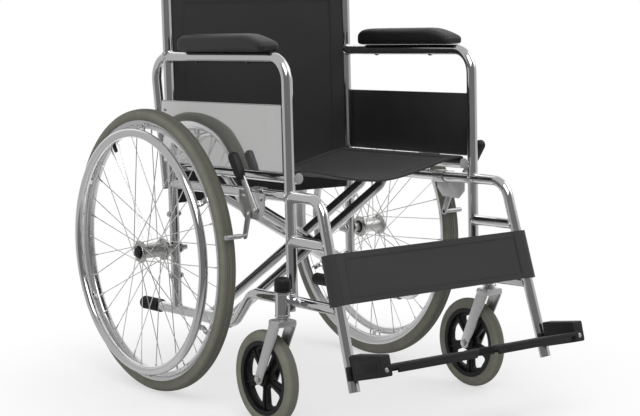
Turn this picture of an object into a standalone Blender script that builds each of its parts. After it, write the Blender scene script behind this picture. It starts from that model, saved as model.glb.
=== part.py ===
"""Folding wheelchair with chromed tube frame, spoked rear wheels and front casters.

Metres, +Z up. The chair faces -Y, the user's right is at -X. The origin lies on the floor
under the middle of the chair's outline. The welded side frames lean back a little, so their
tubes are laid out in frame coordinates: x across the chair, u forward and w upward from the
rear axle, both along the leaning frame.
"""
import math

import bmesh
import bpy
from mathutils import Matrix, Vector

# Driving dimensions of the whole chair
REAR_WHEEL_RADIUS = 0.305
CASTER_RADIUS = 0.0975
FRAME_HALF_WIDTH = 0.240
FRAME_TILT = math.radians(2.4)
FRONT_POST_U = 0.4324
TUBE_RADIUS = 0.011
WELD_GAP = 0.0003
WELD_SETBACK = 0.005
RUNNING_GAP = 0.0002
TUBE_FACETS = 3
AXLE_Z = REAR_WHEEL_RADIUS

# Side frame, in frame coordinates. The front of the lower rail stands above the casters.
UPPER_RAIL_W = 0.141
SEAT_RAIL_W = UPPER_RAIL_W + 0.034
ARM_W = SEAT_RAIL_W + 0.238
ARM_BEND_RADIUS = 0.048
ARM_REAR_U = -0.055
ARM_LEG_END_W = UPPER_RAIL_W - TUBE_RADIUS
ARM_LEG_END_U = -(2 * TUBE_RADIUS + 0.0008)
LOWER_RAIL_W = -0.135
LOWER_RAIL_FRONT_W = 2 * CASTER_RADIUS + 0.044 - AXLE_Z
LOWER_RAIL_REAR_U = -0.133
S_BEND_START_U = FRONT_POST_U - 0.2084
S_BEND_END_U = FRONT_POST_U - 0.1404
S_BEND_RADIUS = 0.040
BRACE_W = (LOWER_RAIL_FRONT_W + UPPER_RAIL_W) / 2 + 0.0155
HANDLE_W = ARM_W + 0.167
HANDLE_BEND_RADIUS = 0.050
HANDLE_END_U = -0.150

# Footrest tube: corner at the top, knee below the strap, and lower end
FOOT_CORNER_U = FRONT_POST_U + 0.0999
FOOT_CORNER_RADIUS = 0.045
FOOT_KNEE = (FRONT_POST_U + 0.1576, -0.055)
FOOT_KNEE_RADIUS = 0.150
FOOT_END_HEIGHT = 0.088
FOOT_END = (FRONT_POST_U + 0.2071, FOOT_END_HEIGHT - AXLE_Z)
FOOT_FLARE = 0.010

# Cross brace and seat rails, in frame coordinates
PIVOT_W = 0.010
CROSS_A_U = (S_BEND_START_U - 0.099, S_BEND_START_U - 0.030)
CROSS_B_SETBACK = 2 * TUBE_RADIUS + 0.003
CROSS_KNEE_RADIUS = 0.030
SLEEVE_WALL = 0.0035
SLEEVE_OVERHANG = 0.0012
PIVOT_BOLT_RADIUS = 0.005
PIVOT_HEAD_RADIUS = 0.009
PIVOT_HEAD_HEIGHT = 0.006
PIVOT_CAP_SIDE = 0.020
PIVOT_CAP_LENGTH = 0.018
SEAT_RAIL_X = FRAME_HALF_WIDTH - 2 * TUBE_RADIUS - 0.0015
SEAT_RAIL_U = (0.020, FRONT_POST_U - 0.0014)
CROSS_KNEE_X = SEAT_RAIL_X - 0.040

# Rear wheel
TYRE_HALF_WIDTH = 0.0175
WHEEL_X = FRAME_HALF_WIDTH + 0.0415 + TYRE_HALF_WIDTH
TYRE_INNER_RADIUS = REAR_WHEEL_RADIUS - 0.0255
RIM_INNER_RADIUS = TYRE_INNER_RADIUS - 0.0175
RIM_HALF_WIDTH = 0.0145
RIM_WELL_HALF_WIDTH = 0.008
HANDRIM_X = WHEEL_X + 0.035
HANDRIM_OUTER_RADIUS = TYRE_INNER_RADIUS - 0.0139
HANDRIM_TUBE_RADIUS = 0.0095
HANDRIM_TABS = 6
HANDRIM_TAB_WIDTH = 0.012
HANDRIM_TAB_THICKNESS = 0.003
HUB_HALF_WIDTH = 0.0325
HUB_RADIUS = 0.016
FLANGE_RADIUS = 0.024
FLANGE_THICKNESS = 0.006
SPOKES_PER_FLANGE = 18
SPOKE_SIDES = 3
SPOKE_RADIUS = 0.001
SPOKE_LEAN = math.radians(66)
SPOKE_LACING_OFFSET = 0.0015
SPOKE_RIM_OFFSET = 0.004
AXLE_RADIUS = 0.006
AXLE_NUT_RADIUS = 0.0105
AXLE_NUT_LENGTH = 0.0075
AXLE_INNER_END_X = FRAME_HALF_WIDTH - 0.028
AXLE_CAP_RADIUS = 0.011
AXLE_CAP_LENGTH = 0.0075
WHEEL_STEPS = 36

# Caster
CASTER_X = FRAME_HALF_WIDTH + TUBE_RADIUS + 0.023
CASTER_Y = -(FRONT_POST_U + 0.0146)
CASTER_TRAIL = 0.0545
CASTER_HALF_WIDTH = 0.015
CASTER_RIM_RADIUS = CASTER_RADIUS - 0.021
CASTER_HUB_RADIUS = 0.016
CASTER_RIM_WALL = 0.010
CASTER_OPENINGS = 5
BARREL_RADIUS = 0.0155
BARREL_Z = (2 * CASTER_RADIUS + 0.036, 2 * CASTER_RADIUS + 0.087)
CAP_RADIUS = BARREL_RADIUS + 0.001
CAP_TOP_Z = BARREL_Z[1] + 0.028
STEM_RADIUS = 0.006
CROWN_Z = (BARREL_Z[0] - 0.018, BARREL_Z[0] - 0.005)
CROWN_HALF_LENGTH = 0.017
FORK_GAP = 0.019
FORK_PLATE = 0.003
FORK_END_RADIUS = 0.012
CASTER_AXLE_RADIUS = 0.005
CASTER_NUT_RADIUS = 0.0085
CASTER_NUT_LENGTH = 0.005
CASTER_STEPS = 24

# Side panel, arm pad, grip and tip cap
PANEL_THICKNESS = 0.003
PANEL_W = (SEAT_RAIL_W + 0.013, ARM_W - 0.092)
PANEL_REAR_U = -0.010
PANEL_FRONT_U = FRONT_POST_U - TUBE_RADIUS - 0.0004
PANEL_FRONT_X = FRAME_HALF_WIDTH + 0.6 * TUBE_RADIUS
PAD_U = (0.070, FRONT_POST_U - 0.0524)
PAD_HEIGHT = 0.036
PAD_HALF_WIDTH = 0.025
PAD_SLOPE_U = PAD_U[1] - 0.062
PAD_TIP_HEIGHT = 0.014
GRIP_RADIUS = TUBE_RADIUS + 0.0045
GRIP_START_U = -0.052
GRIP_END_WALL = 0.005
TIP_CAP_WALL = 0.0035
TIP_CAP_START_U = -0.068
TIP_CAP_END_WALL = 0.005

# Brake in front of the rear tyre, with distances from the rear axle in y and heights above the floor
BRAKE_PLATE_X = FRAME_HALF_WIDTH + TUBE_RADIUS + 0.013
BRAKE_PLATE_THICKNESS = 0.003
BRAKE_RAIL_Z = AXLE_Z + UPPER_RAIL_W
BRAKE_PLATE_Y = (-(REAR_WHEEL_RADIUS + 0.068), -(REAR_WHEEL_RADIUS - 0.020))
BRAKE_PLATE_Z = (BRAKE_RAIL_Z - 0.035, BRAKE_RAIL_Z + 0.020)
BRAKE_CLAMP_Y = (-(REAR_WHEEL_RADIUS + 0.041), -(REAR_WHEEL_RADIUS + 0.007))
LEVER_PIVOT = (-(REAR_WHEEL_RADIUS + 0.040), BRAKE_RAIL_Z - 0.016)
LEVER_X = BRAKE_PLATE_X + 0.0037
LEVER_LENGTH = 0.1335
LEVER_WIDTH = 0.014
LEVER_THICKNESS = 0.003
LEVER_GRIP_START = 0.073
LEVER_GRIP_WIDTH = 0.022
LEVER_GRIP_THICKNESS = 0.018
LEVER_OPEN_LEAN = math.radians(34.5)
LEVER_LOCKED_LEAN = math.radians(-33.5)
SHOE_PIVOT = (-(REAR_WHEEL_RADIUS + 0.017), BRAKE_RAIL_Z - 0.026)
SHOE_ROD_Z = SHOE_PIVOT[1] - 0.0435
SHOE_ROD_RADIUS = 0.005
SHOE_ROD_END_X = WHEEL_X + 0.017
SHOE_OPEN_SWING = math.radians(-8)
BRAKE_PIN_RADIUS = 0.004

# Footplate, laid out from its rear edge: t along the slope, b above the plate's middle
PLATE_SLOPE = math.radians(16)
PLATE_REAR_Y = -(FOOT_END[0] + TUBE_RADIUS - 0.0005)
PLATE_REAR_Z = FOOT_END_HEIGHT + 0.062
PLATE_THICKNESS = 0.019
PLATE_DEPTH = 0.1015
PLATE_INNER_X = 0.018
CHEEK_START = 0.008
CHEEK_DEPTH = 0.098
CHEEK_HALF_WIDTH = 0.013
CHEEK_BOTTOM = -0.012
CHEEK_TOP = (0.0385, 0.029)
PLATE_AXIS_X = FRAME_HALF_WIDTH + FOOT_FLARE
PLATE_PIN_RADIUS = 0.004
HINGE_HALF_WIDTH = 0.013
HINGE_REACH = 0.0125
HINGE_B = (-0.011, 0.017)

# Upholstery
SEAT_HALF_WIDTH = SEAT_RAIL_X + 0.005
SEAT_U = (0.024, FRONT_POST_U - 0.0084)
SEAT_THICKNESS = 0.004
SEAT_SAG = 0.034
BACK_W = (SEAT_RAIL_W - 0.077, HANDLE_W - 0.024)
BACK_U = 0.002
BACK_THICKNESS = 0.005
BACK_SAG = 0.012
STRAP_Z = (AXLE_Z - 0.033, AXLE_Z + 0.061)
STRAP_THICKNESS = 0.004
STRAP_HOOK_ANGLE = math.radians(120)

# The faceted tread stands on its flats, so its corners lie a little outside the radius
TREAD_CORNER_RADIUS = REAR_WHEEL_RADIUS / math.cos(math.pi / WHEEL_STEPS)

# Where the rear axle stands: the outline runs from the rear tyre to the footplates
PLATE_FRONT_Y = (PLATE_REAR_Y - PLATE_DEPTH * math.cos(PLATE_SLOPE)
                 - PLATE_THICKNESS / 2 * math.sin(PLATE_SLOPE))
AXLE_Y = -(REAR_WHEEL_RADIUS + PLATE_FRONT_Y) / 2

SIDES = {"right": -1, "left": 1}
X_AXIS = Vector((1, 0, 0))
Y_AXIS = Vector((0, 1, 0))
Z_AXIS = Vector((0, 0, 1))
U_AXIS = Vector((0, -math.cos(FRAME_TILT), math.sin(FRAME_TILT)))
W_AXIS = Vector((0, math.sin(FRAME_TILT), math.cos(FRAME_TILT)))
SLOPE_AXIS = Vector((0, -math.cos(PLATE_SLOPE), math.sin(PLATE_SLOPE)))
SLOPE_UP = Vector((0, math.sin(PLATE_SLOPE), math.cos(PLATE_SLOPE)))


def frame_point(x, u, w):
    """World point of the frame coordinates x, u, w."""
    return Vector((x, AXLE_Y, AXLE_Z)) + u * U_AXIS + w * W_AXIS


def axle_point(x, y, z):
    """World point at distance y behind the rear axle and height z above the floor."""
    return Vector((x, AXLE_Y + y, z))


def plate_point(x, t, b):
    """World point of the footplate coordinates x, t, b."""
    return axle_point(x, PLATE_REAR_Y, PLATE_REAR_Z) + t * SLOPE_AXIS + b * SLOPE_UP


def rotation_to(axis):
    """Matrix that turns +Z onto the axis."""
    return Z_AXIS.rotation_difference(axis).to_matrix().to_4x4()


def basis_at(origin, first, second, third):
    """Matrix that takes +X, +Y, +Z to the three directions, at the origin given."""
    matrix = Matrix((first, second, third)).transposed().to_4x4()
    matrix.translation = origin
    return matrix


# Scene and materials

def clear_scene():
    """Remove every object and start two collections, for the parts and for the cutters."""
    for thing in list(bpy.data.objects):
        bpy.data.objects.remove(thing)
    for name in ("folding_wheelchair", "cutters"):
        collection = bpy.data.collections.new(name)
        bpy.context.scene.collection.children.link(collection)


def make_material(name, colour, roughness, metallic=0.0):
    """A Principled BSDF material."""
    material = bpy.data.materials.new(name)
    material.use_nodes = True
    shader = material.node_tree.nodes["Principled BSDF"]
    shader.inputs["Base Color"].default_value = (*colour, 1.0)
    shader.inputs["Roughness"].default_value = roughness
    shader.inputs["Metallic"].default_value = metallic
    material.diffuse_color = (*colour, 1.0)
    return material


clear_scene()
CHROME = make_material("chrome", (0.62, 0.62, 0.63), 0.12, 1.0)
POLISHED_SHEET = make_material("polished_sheet", (0.55, 0.55, 0.55), 0.2, 1.0)
BRIGHT_STEEL = make_material("bright_steel", (0.5, 0.5, 0.5), 0.3, 1.0)
BLACK_CLOTH = make_material("black_cloth", (0.03, 0.03, 0.03), 0.8)
BLACK_PLASTIC = make_material("black_plastic", (0.03, 0.03, 0.03), 0.45)
BLACK_RUBBER = make_material("black_rubber", (0.03, 0.03, 0.03), 0.7)
GREY_TYRE = make_material("grey_tyre", (0.13, 0.13, 0.11), 0.75)
BLACK_WHEEL = make_material("black_wheel", (0.02, 0.02, 0.02), 0.4)


# Meshes, all in world coordinates

def weld_and_orient(mesh):
    """Join doubled vertices and turn all faces outwards."""
    work = bmesh.new()
    work.from_mesh(mesh)
    bmesh.ops.remove_doubles(work, verts=work.verts, dist=1e-6)
    bmesh.ops.recalc_face_normals(work, faces=work.faces)
    work.to_mesh(mesh)
    work.free()
    return mesh


def evaluated_mesh(obj, data_blocks):
    """The object's evaluated mesh; the object and its data are removed."""
    bpy.context.scene.collection.objects.link(obj)
    bpy.context.view_layer.update()
    depsgraph = bpy.context.evaluated_depsgraph_get()
    mesh = bpy.data.meshes.new_from_object(obj.evaluated_get(depsgraph))
    mesh.transform(obj.matrix_world)
    data = obj.data
    bpy.data.objects.remove(obj)
    data_blocks.remove(data)
    return weld_and_orient(mesh)


def tube_mesh(points, radius, facets=TUBE_FACETS):
    """A round tube along the points, with closed ends."""
    curve = bpy.data.curves.new("tube", "CURVE")
    curve.dimensions = "3D"
    curve.bevel_depth = radius
    curve.bevel_resolution = facets
    curve.use_fill_caps = True
    spline = curve.splines.new("POLY")
    spline.points.add(len(points) - 1)
    for slot, point in zip(spline.points, points):
        slot.co = (*point, 1.0)
    return evaluated_mesh(bpy.data.objects.new("tube", curve), bpy.data.curves)


def plate_mesh(outline, thickness, matrix):
    """A flat plate: the outline in the matrix's XY plane, the thickness centred on it."""
    curve = bpy.data.curves.new("plate", "CURVE")
    curve.dimensions = "2D"
    curve.fill_mode = "BOTH"
    curve.extrude = thickness / 2
    spline = curve.splines.new("POLY")
    spline.points.add(len(outline) - 1)
    for slot, point in zip(spline.points, outline):
        slot.co = (point[0], point[1], 0.0, 1.0)
    spline.use_cyclic_u = True
    mesh = evaluated_mesh(bpy.data.objects.new("plate", curve), bpy.data.curves)
    mesh.transform(matrix)
    return weld_and_orient(mesh)


def turned_mesh(profile, centre, axis, steps, closed=False, on_flats=False):
    """A turned solid: the profile holds (radius, height) pairs from top to bottom.

    With on_flats, facets and not corners lie at its lowest and foremost places.
    """
    mesh = bpy.data.meshes.new("turned")
    count = len(profile)
    edges = [(i, (i + 1) % count) for i in range(count if closed else count - 1)]
    mesh.from_pydata([(radius, 0, height) for radius, height in profile], edges, [])
    obj = bpy.data.objects.new("turned", mesh)
    screw = obj.modifiers.new("screw", "SCREW")
    screw.steps = screw.render_steps = steps
    screw.use_merge_vertices = True
    screw.merge_threshold = 1e-5
    result = evaluated_mesh(obj, bpy.data.meshes)
    turn = Matrix.Rotation(math.pi / steps if on_flats else 0.0, 4, "Z")
    result.transform(Matrix.Translation(centre) @ rotation_to(axis) @ turn)
    return result


def cylinder_mesh(start, end, radius, sides=16):
    """A cylinder from start to end."""
    work = bmesh.new()
    length = (end - start).length
    bmesh.ops.create_cone(work, cap_ends=True, segments=sides, radius1=radius,
                          radius2=radius, depth=length)
    mesh = bpy.data.meshes.new("cylinder")
    work.to_mesh(mesh)
    work.free()
    mesh.transform(Matrix.Translation((start + end) / 2) @ rotation_to((end - start).normalized()))
    return mesh


def box_mesh(low, high, matrix=Matrix.Identity(4)):
    """A box between two corners given in the matrix's axes."""
    low, high = Vector(low), Vector(high)
    work = bmesh.new()
    bmesh.ops.create_cube(work, size=1.0)
    bmesh.ops.scale(work, verts=work.verts, vec=high - low)
    bmesh.ops.translate(work, verts=work.verts, vec=(high + low) / 2)
    mesh = bpy.data.meshes.new("box")
    work.to_mesh(mesh)
    work.free()
    mesh.transform(matrix)
    return weld_and_orient(mesh)


def sheet_mesh(rows, thickness, offset=0.0):
    """A sheet of the given thickness through a grid of points, row by row."""
    columns = len(rows[0])
    faces = [(r * columns + c, r * columns + c + 1, (r + 1) * columns + c + 1, (r + 1) * columns + c)
             for r in range(len(rows) - 1) for c in range(columns - 1)]
    mesh = bpy.data.meshes.new("sheet")
    mesh.from_pydata([point for row in rows for point in row], [], faces)
    obj = bpy.data.objects.new("sheet", mesh)
    solidify = obj.modifiers.new("solidify", "SOLIDIFY")
    solidify.thickness = thickness
    solidify.offset = offset
    return evaluated_mesh(obj, bpy.data.meshes)


def joined(*meshes):
    """One mesh holding several separate shapes."""
    work = bmesh.new()
    for mesh in meshes:
        work.from_mesh(mesh)
        bpy.data.meshes.remove(mesh)
    result = bpy.data.meshes.new("joined")
    work.to_mesh(result)
    work.free()
    return result


def corner_radius(flat_radius, steps):
    """Radius of the corners of a faceted round whose flats lie at the radius given."""
    return flat_radius / math.cos(math.pi / steps)


def bore_radius(pin_radius, sides=16):
    """Radius of a faceted hole in which a pin of that radius turns freely."""
    return corner_radius(pin_radius + RUNNING_GAP, sides)


def rounded_path(corners, radii, steps=4):
    """Corner points of a path, each inner corner rounded to an arc of its own radius."""
    points = [corners[0]]
    for before, corner, after, radius in zip(corners, corners[1:], corners[2:], radii):
        back = (before - corner).normalized()
        ahead = (after - corner).normalized()
        half_turn = (math.pi - back.angle(ahead)) / 2
        centre = corner + (back + ahead).normalized() * radius / math.cos(half_turn)
        start = corner + back * radius * math.tan(half_turn) - centre
        turn_axis = back.cross(ahead).normalized()
        for i in range(steps + 1):
            angle = -2 * half_turn * i / steps
            points.append(centre + Matrix.Rotation(angle, 3, turn_axis) @ start)
    points.append(corners[-1])
    return points


def shortened(path, start=False, end=False):
    """The path with an end drawn back, so that a tube stops short of its neighbour's middle."""
    points = list(path)
    if start:
        points[0] = points[0] + (points[1] - points[0]).normalized() * WELD_SETBACK
    if end:
        points[-1] = points[-1] + (points[-2] - points[-1]).normalized() * WELD_SETBACK
    return points


def arc_outline(centre, radius, start, end, steps=8):
    """Outline points round a centre, from the start angle to the end angle."""
    return [(centre[0] + radius * math.cos(start + (end - start) * i / steps),
             centre[1] + radius * math.sin(start + (end - start) * i / steps))
            for i in range(steps + 1)]


# Objects

def add_body(name, location, parent=None):
    """An empty on a joint, which carries the pieces that move together."""
    empty = bpy.data.objects.new(name, None)
    empty.empty_display_size = 0.03
    bpy.data.collections["folding_wheelchair"].objects.link(empty)
    empty.location = location if parent is None else location - parent.matrix_world.translation
    empty.parent = parent
    bpy.context.view_layer.update()
    return empty


def add_part(name, mesh, material, body):
    """A named piece, with its origin on its body's joint."""
    mesh.name = name
    mesh.transform(Matrix.Translation(-body.matrix_world.translation))
    mesh.materials.clear()
    mesh.materials.append(material)
    mesh.shade_smooth()
    mesh.set_sharp_from_angle(angle=math.radians(35))
    obj = bpy.data.objects.new(name, mesh)
    bpy.data.collections["folding_wheelchair"].objects.link(obj)
    obj.parent = body
    return obj


def add_cutter(name, mesh):
    """A hidden shape for a Boolean."""
    obj = bpy.data.objects.new(name, mesh)
    bpy.data.collections["cutters"].objects.link(obj)
    obj.hide_render = True
    obj.display_type = "WIRE"
    return obj


def combine(obj, operation, *cutters):
    """Cut an object with, or join it to, each of the shapes."""
    for cutter in cutters:
        boolean = obj.modifiers.new(cutter.name, "BOOLEAN")
        boolean.operation = operation
        boolean.solver = "EXACT"
        boolean.object = cutter
    return obj


def unite(obj, *meshes):
    """Join extra shapes to an object."""
    shapes = [add_cutter(f"{obj.name}_joint_{i}", mesh) for i, mesh in enumerate(meshes)]
    return combine(obj, "UNION", *shapes)


def cut(obj, *meshes):
    """Cut shapes out of an object."""
    shapes = [add_cutter(f"{obj.name}_cut_{i}", mesh) for i, mesh in enumerate(meshes)]
    return combine(obj, "DIFFERENCE", *shapes)


# Centre lines of the side frame's tubes

def flare_at(w):
    """How far the footrest tube stands outboard at the height w."""
    return FOOT_FLARE * (UPPER_RAIL_W - w) / (UPPER_RAIL_W - FOOT_END[1])


def footrest_u(w):
    """Where the footrest tube lies at the height w."""
    places = ((FOOT_CORNER_U, UPPER_RAIL_W), FOOT_KNEE, FOOT_END)
    upper, lower = places[:2] if w > FOOT_KNEE[1] else places[1:]
    return upper[0] + (lower[0] - upper[0]) * (upper[1] - w) / (upper[1] - lower[1])


def footrest_path(sign):
    """Footrest tube: forward from the front post, then down to the footplate."""
    corners = [frame_point(sign * FRAME_HALF_WIDTH, FRONT_POST_U, UPPER_RAIL_W),
               frame_point(sign * FRAME_HALF_WIDTH, FOOT_CORNER_U, UPPER_RAIL_W)]
    for u, w in (FOOT_KNEE, FOOT_END):
        corners.append(frame_point(sign * (FRAME_HALF_WIDTH + flare_at(w)), u, w))
    return shortened(rounded_path(corners, (FOOT_CORNER_RADIUS, FOOT_KNEE_RADIUS)), start=True)


def frame_paths(sign):
    """Centre lines of every tube of one side frame."""
    x = sign * FRAME_HALF_WIDTH

    def outline(pairs, *radii):
        return rounded_path([frame_point(x, u, w) for u, w in pairs], radii)

    front_x = sign * (FRAME_HALF_WIDTH + flare_at(LOWER_RAIL_FRONT_W))
    brace_x = sign * (FRAME_HALF_WIDTH + flare_at(BRACE_W))
    lower = outline([(LOWER_RAIL_REAR_U, LOWER_RAIL_W), (S_BEND_START_U, LOWER_RAIL_W),
                     (S_BEND_END_U, LOWER_RAIL_FRONT_W), (FRONT_POST_U, LOWER_RAIL_FRONT_W)],
                    S_BEND_RADIUS, S_BEND_RADIUS)
    lower.append(frame_point(front_x, footrest_u(LOWER_RAIL_FRONT_W), LOWER_RAIL_FRONT_W))
    return {
        "arm_tube": shortened(outline([(FRONT_POST_U, LOWER_RAIL_FRONT_W), (FRONT_POST_U, ARM_W),
                                       (ARM_REAR_U, ARM_W), (ARM_LEG_END_U, ARM_LEG_END_W)],
                                      ARM_BEND_RADIUS, ARM_BEND_RADIUS), start=True),
        "rear_post": shortened(outline([(0, LOWER_RAIL_W), (0, ARM_W)]), start=True, end=True),
        "back_cane": shortened(outline([(0, ARM_W), (0, HANDLE_W), (HANDLE_END_U, HANDLE_W)],
                                       HANDLE_BEND_RADIUS), start=True),
        "upper_rail": shortened(outline([(0, UPPER_RAIL_W), (FRONT_POST_U, UPPER_RAIL_W)]),
                                start=True, end=True),
        "footrest_tube": footrest_path(sign),
        "brace_tube": shortened([frame_point(x, FRONT_POST_U, BRACE_W),
                                 frame_point(brace_x, footrest_u(BRACE_W), BRACE_W)],
                                start=True, end=True),
        "lower_rail": shortened(lower, end=True),
        "seat_rail": [frame_point(sign * SEAT_RAIL_X, u, SEAT_RAIL_W) for u in SEAT_RAIL_U],
    }


# Which tubes each welded tube is shaped to at its ends
WELDED_TO = {
    "arm_tube": ("lower_rail",),
    "rear_post": ("lower_rail", "arm_tube"),
    "back_cane": ("arm_tube",),
    "upper_rail": ("rear_post", "arm_tube"),
    "footrest_tube": ("arm_tube",),
    "brace_tube": ("arm_tube", "footrest_tube"),
    "lower_rail": ("footrest_tube",),
}


def build_side_tubes(side, sign, body):
    """The welded tubes of one side frame. Returns the cutters that clear each tube."""
    paths = frame_paths(sign)
    clear = {name: add_cutter(f"{side}_{name}_clearance", tube_mesh(path, TUBE_RADIUS + WELD_GAP))
             for name, path in paths.items()}
    for name, neighbours in WELDED_TO.items():
        tube = add_part(f"{side}_{name}", tube_mesh(paths[name], TUBE_RADIUS), CHROME, body)
        combine(tube, "DIFFERENCE", *(clear[neighbour] for neighbour in neighbours))
        if name == "rear_post":
            cut(tube, axle_bore(sign))
    return clear


def axle_bore(sign):
    """The hole for the rear axle, across the frame and the hub."""
    return cylinder_mesh(axle_point(sign * (AXLE_INNER_END_X - 0.01), 0, AXLE_Z),
                         axle_point(sign * (HANDRIM_X + 0.02), 0, AXLE_Z),
                         bore_radius(AXLE_RADIUS))


def build_side_trim(side, sign, body):
    """Panel, arm pad, push grip and tip cap of one side frame."""
    rear_x = (FRAME_HALF_WIDTH + TUBE_RADIUS + WELD_GAP + PANEL_THICKNESS / 2)
    rear = frame_point(sign * rear_x, PANEL_REAR_U, 0)
    front = frame_point(sign * PANEL_FRONT_X, PANEL_FRONT_U, 0)
    along = (front - rear).normalized()
    outward = W_AXIS.cross(along).normalized()
    panel_length = (front - rear).length
    outline = [(0, PANEL_W[0]), (panel_length, PANEL_W[0]), (panel_length, PANEL_W[1]), (0, PANEL_W[1])]
    panel = plate_mesh(outline, PANEL_THICKNESS, basis_at(rear, along, W_AXIS, -outward))
    add_part(f"{side}_side_panel", panel, POLISHED_SHEET, body)

    pad_bottom = ARM_W + TUBE_RADIUS + WELD_GAP
    top = pad_bottom + PAD_HEIGHT
    tip = pad_bottom + PAD_TIP_HEIGHT
    outline = [(PAD_U[0], pad_bottom), (PAD_U[1], pad_bottom), (PAD_U[1], tip),
               (PAD_SLOPE_U, top), (PAD_U[0] + 0.012, top), (PAD_U[0], top - 0.012)]
    origin = frame_point(sign * FRAME_HALF_WIDTH, 0, 0)
    pad_mesh = plate_mesh(outline, 2 * PAD_HALF_WIDTH, basis_at(origin, U_AXIS, W_AXIS, X_AXIS))
    pad = add_part(f"{side}_arm_pad", pad_mesh, BLACK_PLASTIC, body)
    bevel = pad.modifiers.new("crown", "BEVEL")
    bevel.width = 0.0045
    bevel.segments = 3

    grip_length = GRIP_START_U - HANDLE_END_U + WELD_GAP + GRIP_END_WALL
    grip_start = frame_point(sign * FRAME_HALF_WIDTH, GRIP_START_U, HANDLE_W)
    bore = bore_radius(TUBE_RADIUS)
    profile = [(0, grip_length), (GRIP_RADIUS - 0.003, grip_length), (GRIP_RADIUS, grip_length - 0.003),
               (GRIP_RADIUS, 0.006), (GRIP_RADIUS + 0.002, 0.003), (GRIP_RADIUS + 0.002, 0),
               (bore, 0), (bore, grip_length - GRIP_END_WALL), (0, grip_length - GRIP_END_WALL)]
    add_part(f"{side}_push_grip", turned_mesh(profile, grip_start, -U_AXIS, 16), BLACK_RUBBER, body)

    cap_length = TIP_CAP_START_U - LOWER_RAIL_REAR_U + WELD_GAP + TIP_CAP_END_WALL
    cap_start = frame_point(sign * FRAME_HALF_WIDTH, TIP_CAP_START_U, LOWER_RAIL_W)
    outer = bore + TIP_CAP_WALL
    profile = [(0, cap_length), (outer - 0.002, cap_length), (outer, cap_length - 0.002),
               (outer, 0), (bore, 0), (bore, cap_length - TIP_CAP_END_WALL),
               (0, cap_length - TIP_CAP_END_WALL)]
    add_part(f"{side}_tip_cap", turned_mesh(profile, cap_start, -U_AXIS, 16), BLACK_RUBBER, body)


# Rear wheel

def wheel_centre(sign, x=WHEEL_X):
    """Point on the rear axle's line."""
    return axle_point(sign * x, 0, AXLE_Z)


def spoke_mesh(sign, flange, index):
    """One spoke, from a hub flange to a flat of the rim. Every second one leans the other way."""
    leaning = 1 if index % 2 else -1
    angle = 2 * math.pi * (index + 0.25 * flange) / SPOKES_PER_FLANGE + math.pi / WHEEL_STEPS
    hub_angle = angle + leaning * SPOKE_LEAN
    hub_x = flange * (HUB_HALF_WIDTH - FLANGE_THICKNESS / 2) + leaning * SPOKE_LACING_OFFSET
    rim_x = flange * SPOKE_RIM_OFFSET + leaning * SPOKE_LACING_OFFSET
    hub_radius = FLANGE_RADIUS - 0.004
    rim_radius = RIM_INNER_RADIUS * math.cos(math.pi / WHEEL_STEPS) - 1.5 * WELD_GAP
    centre = wheel_centre(sign)
    start = centre + Vector((hub_x, hub_radius * math.cos(hub_angle), hub_radius * math.sin(hub_angle)))
    end = centre + Vector((rim_x, rim_radius * math.cos(angle), rim_radius * math.sin(angle)))
    return cylinder_mesh(start, end, SPOKE_RADIUS, SPOKE_SIDES)


def build_hub(side, sign, body):
    """Hub with its two flanges and all the spokes."""
    core = HUB_HALF_WIDTH - FLANGE_THICKNESS
    bore = bore_radius(AXLE_RADIUS)
    profile = [(bore, HUB_HALF_WIDTH), (FLANGE_RADIUS - 0.001, HUB_HALF_WIDTH),
               (FLANGE_RADIUS, HUB_HALF_WIDTH - 0.001), (FLANGE_RADIUS, core), (HUB_RADIUS, core - 0.003),
               (HUB_RADIUS, -core + 0.003), (FLANGE_RADIUS, -core), (FLANGE_RADIUS, -HUB_HALF_WIDTH + 0.001),
               (FLANGE_RADIUS - 0.001, -HUB_HALF_WIDTH), (bore, -HUB_HALF_WIDTH)]
    hub_mesh = turned_mesh(profile, wheel_centre(sign), X_AXIS, 16, closed=True)
    hub = add_part(f"{side}_hub_spokes", hub_mesh, BRIGHT_STEEL, body)
    spokes = [spoke_mesh(sign, flange, index) for flange in (-1, 1) for index in range(SPOKES_PER_FLANGE)]
    unite(hub, joined(*spokes))


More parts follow.
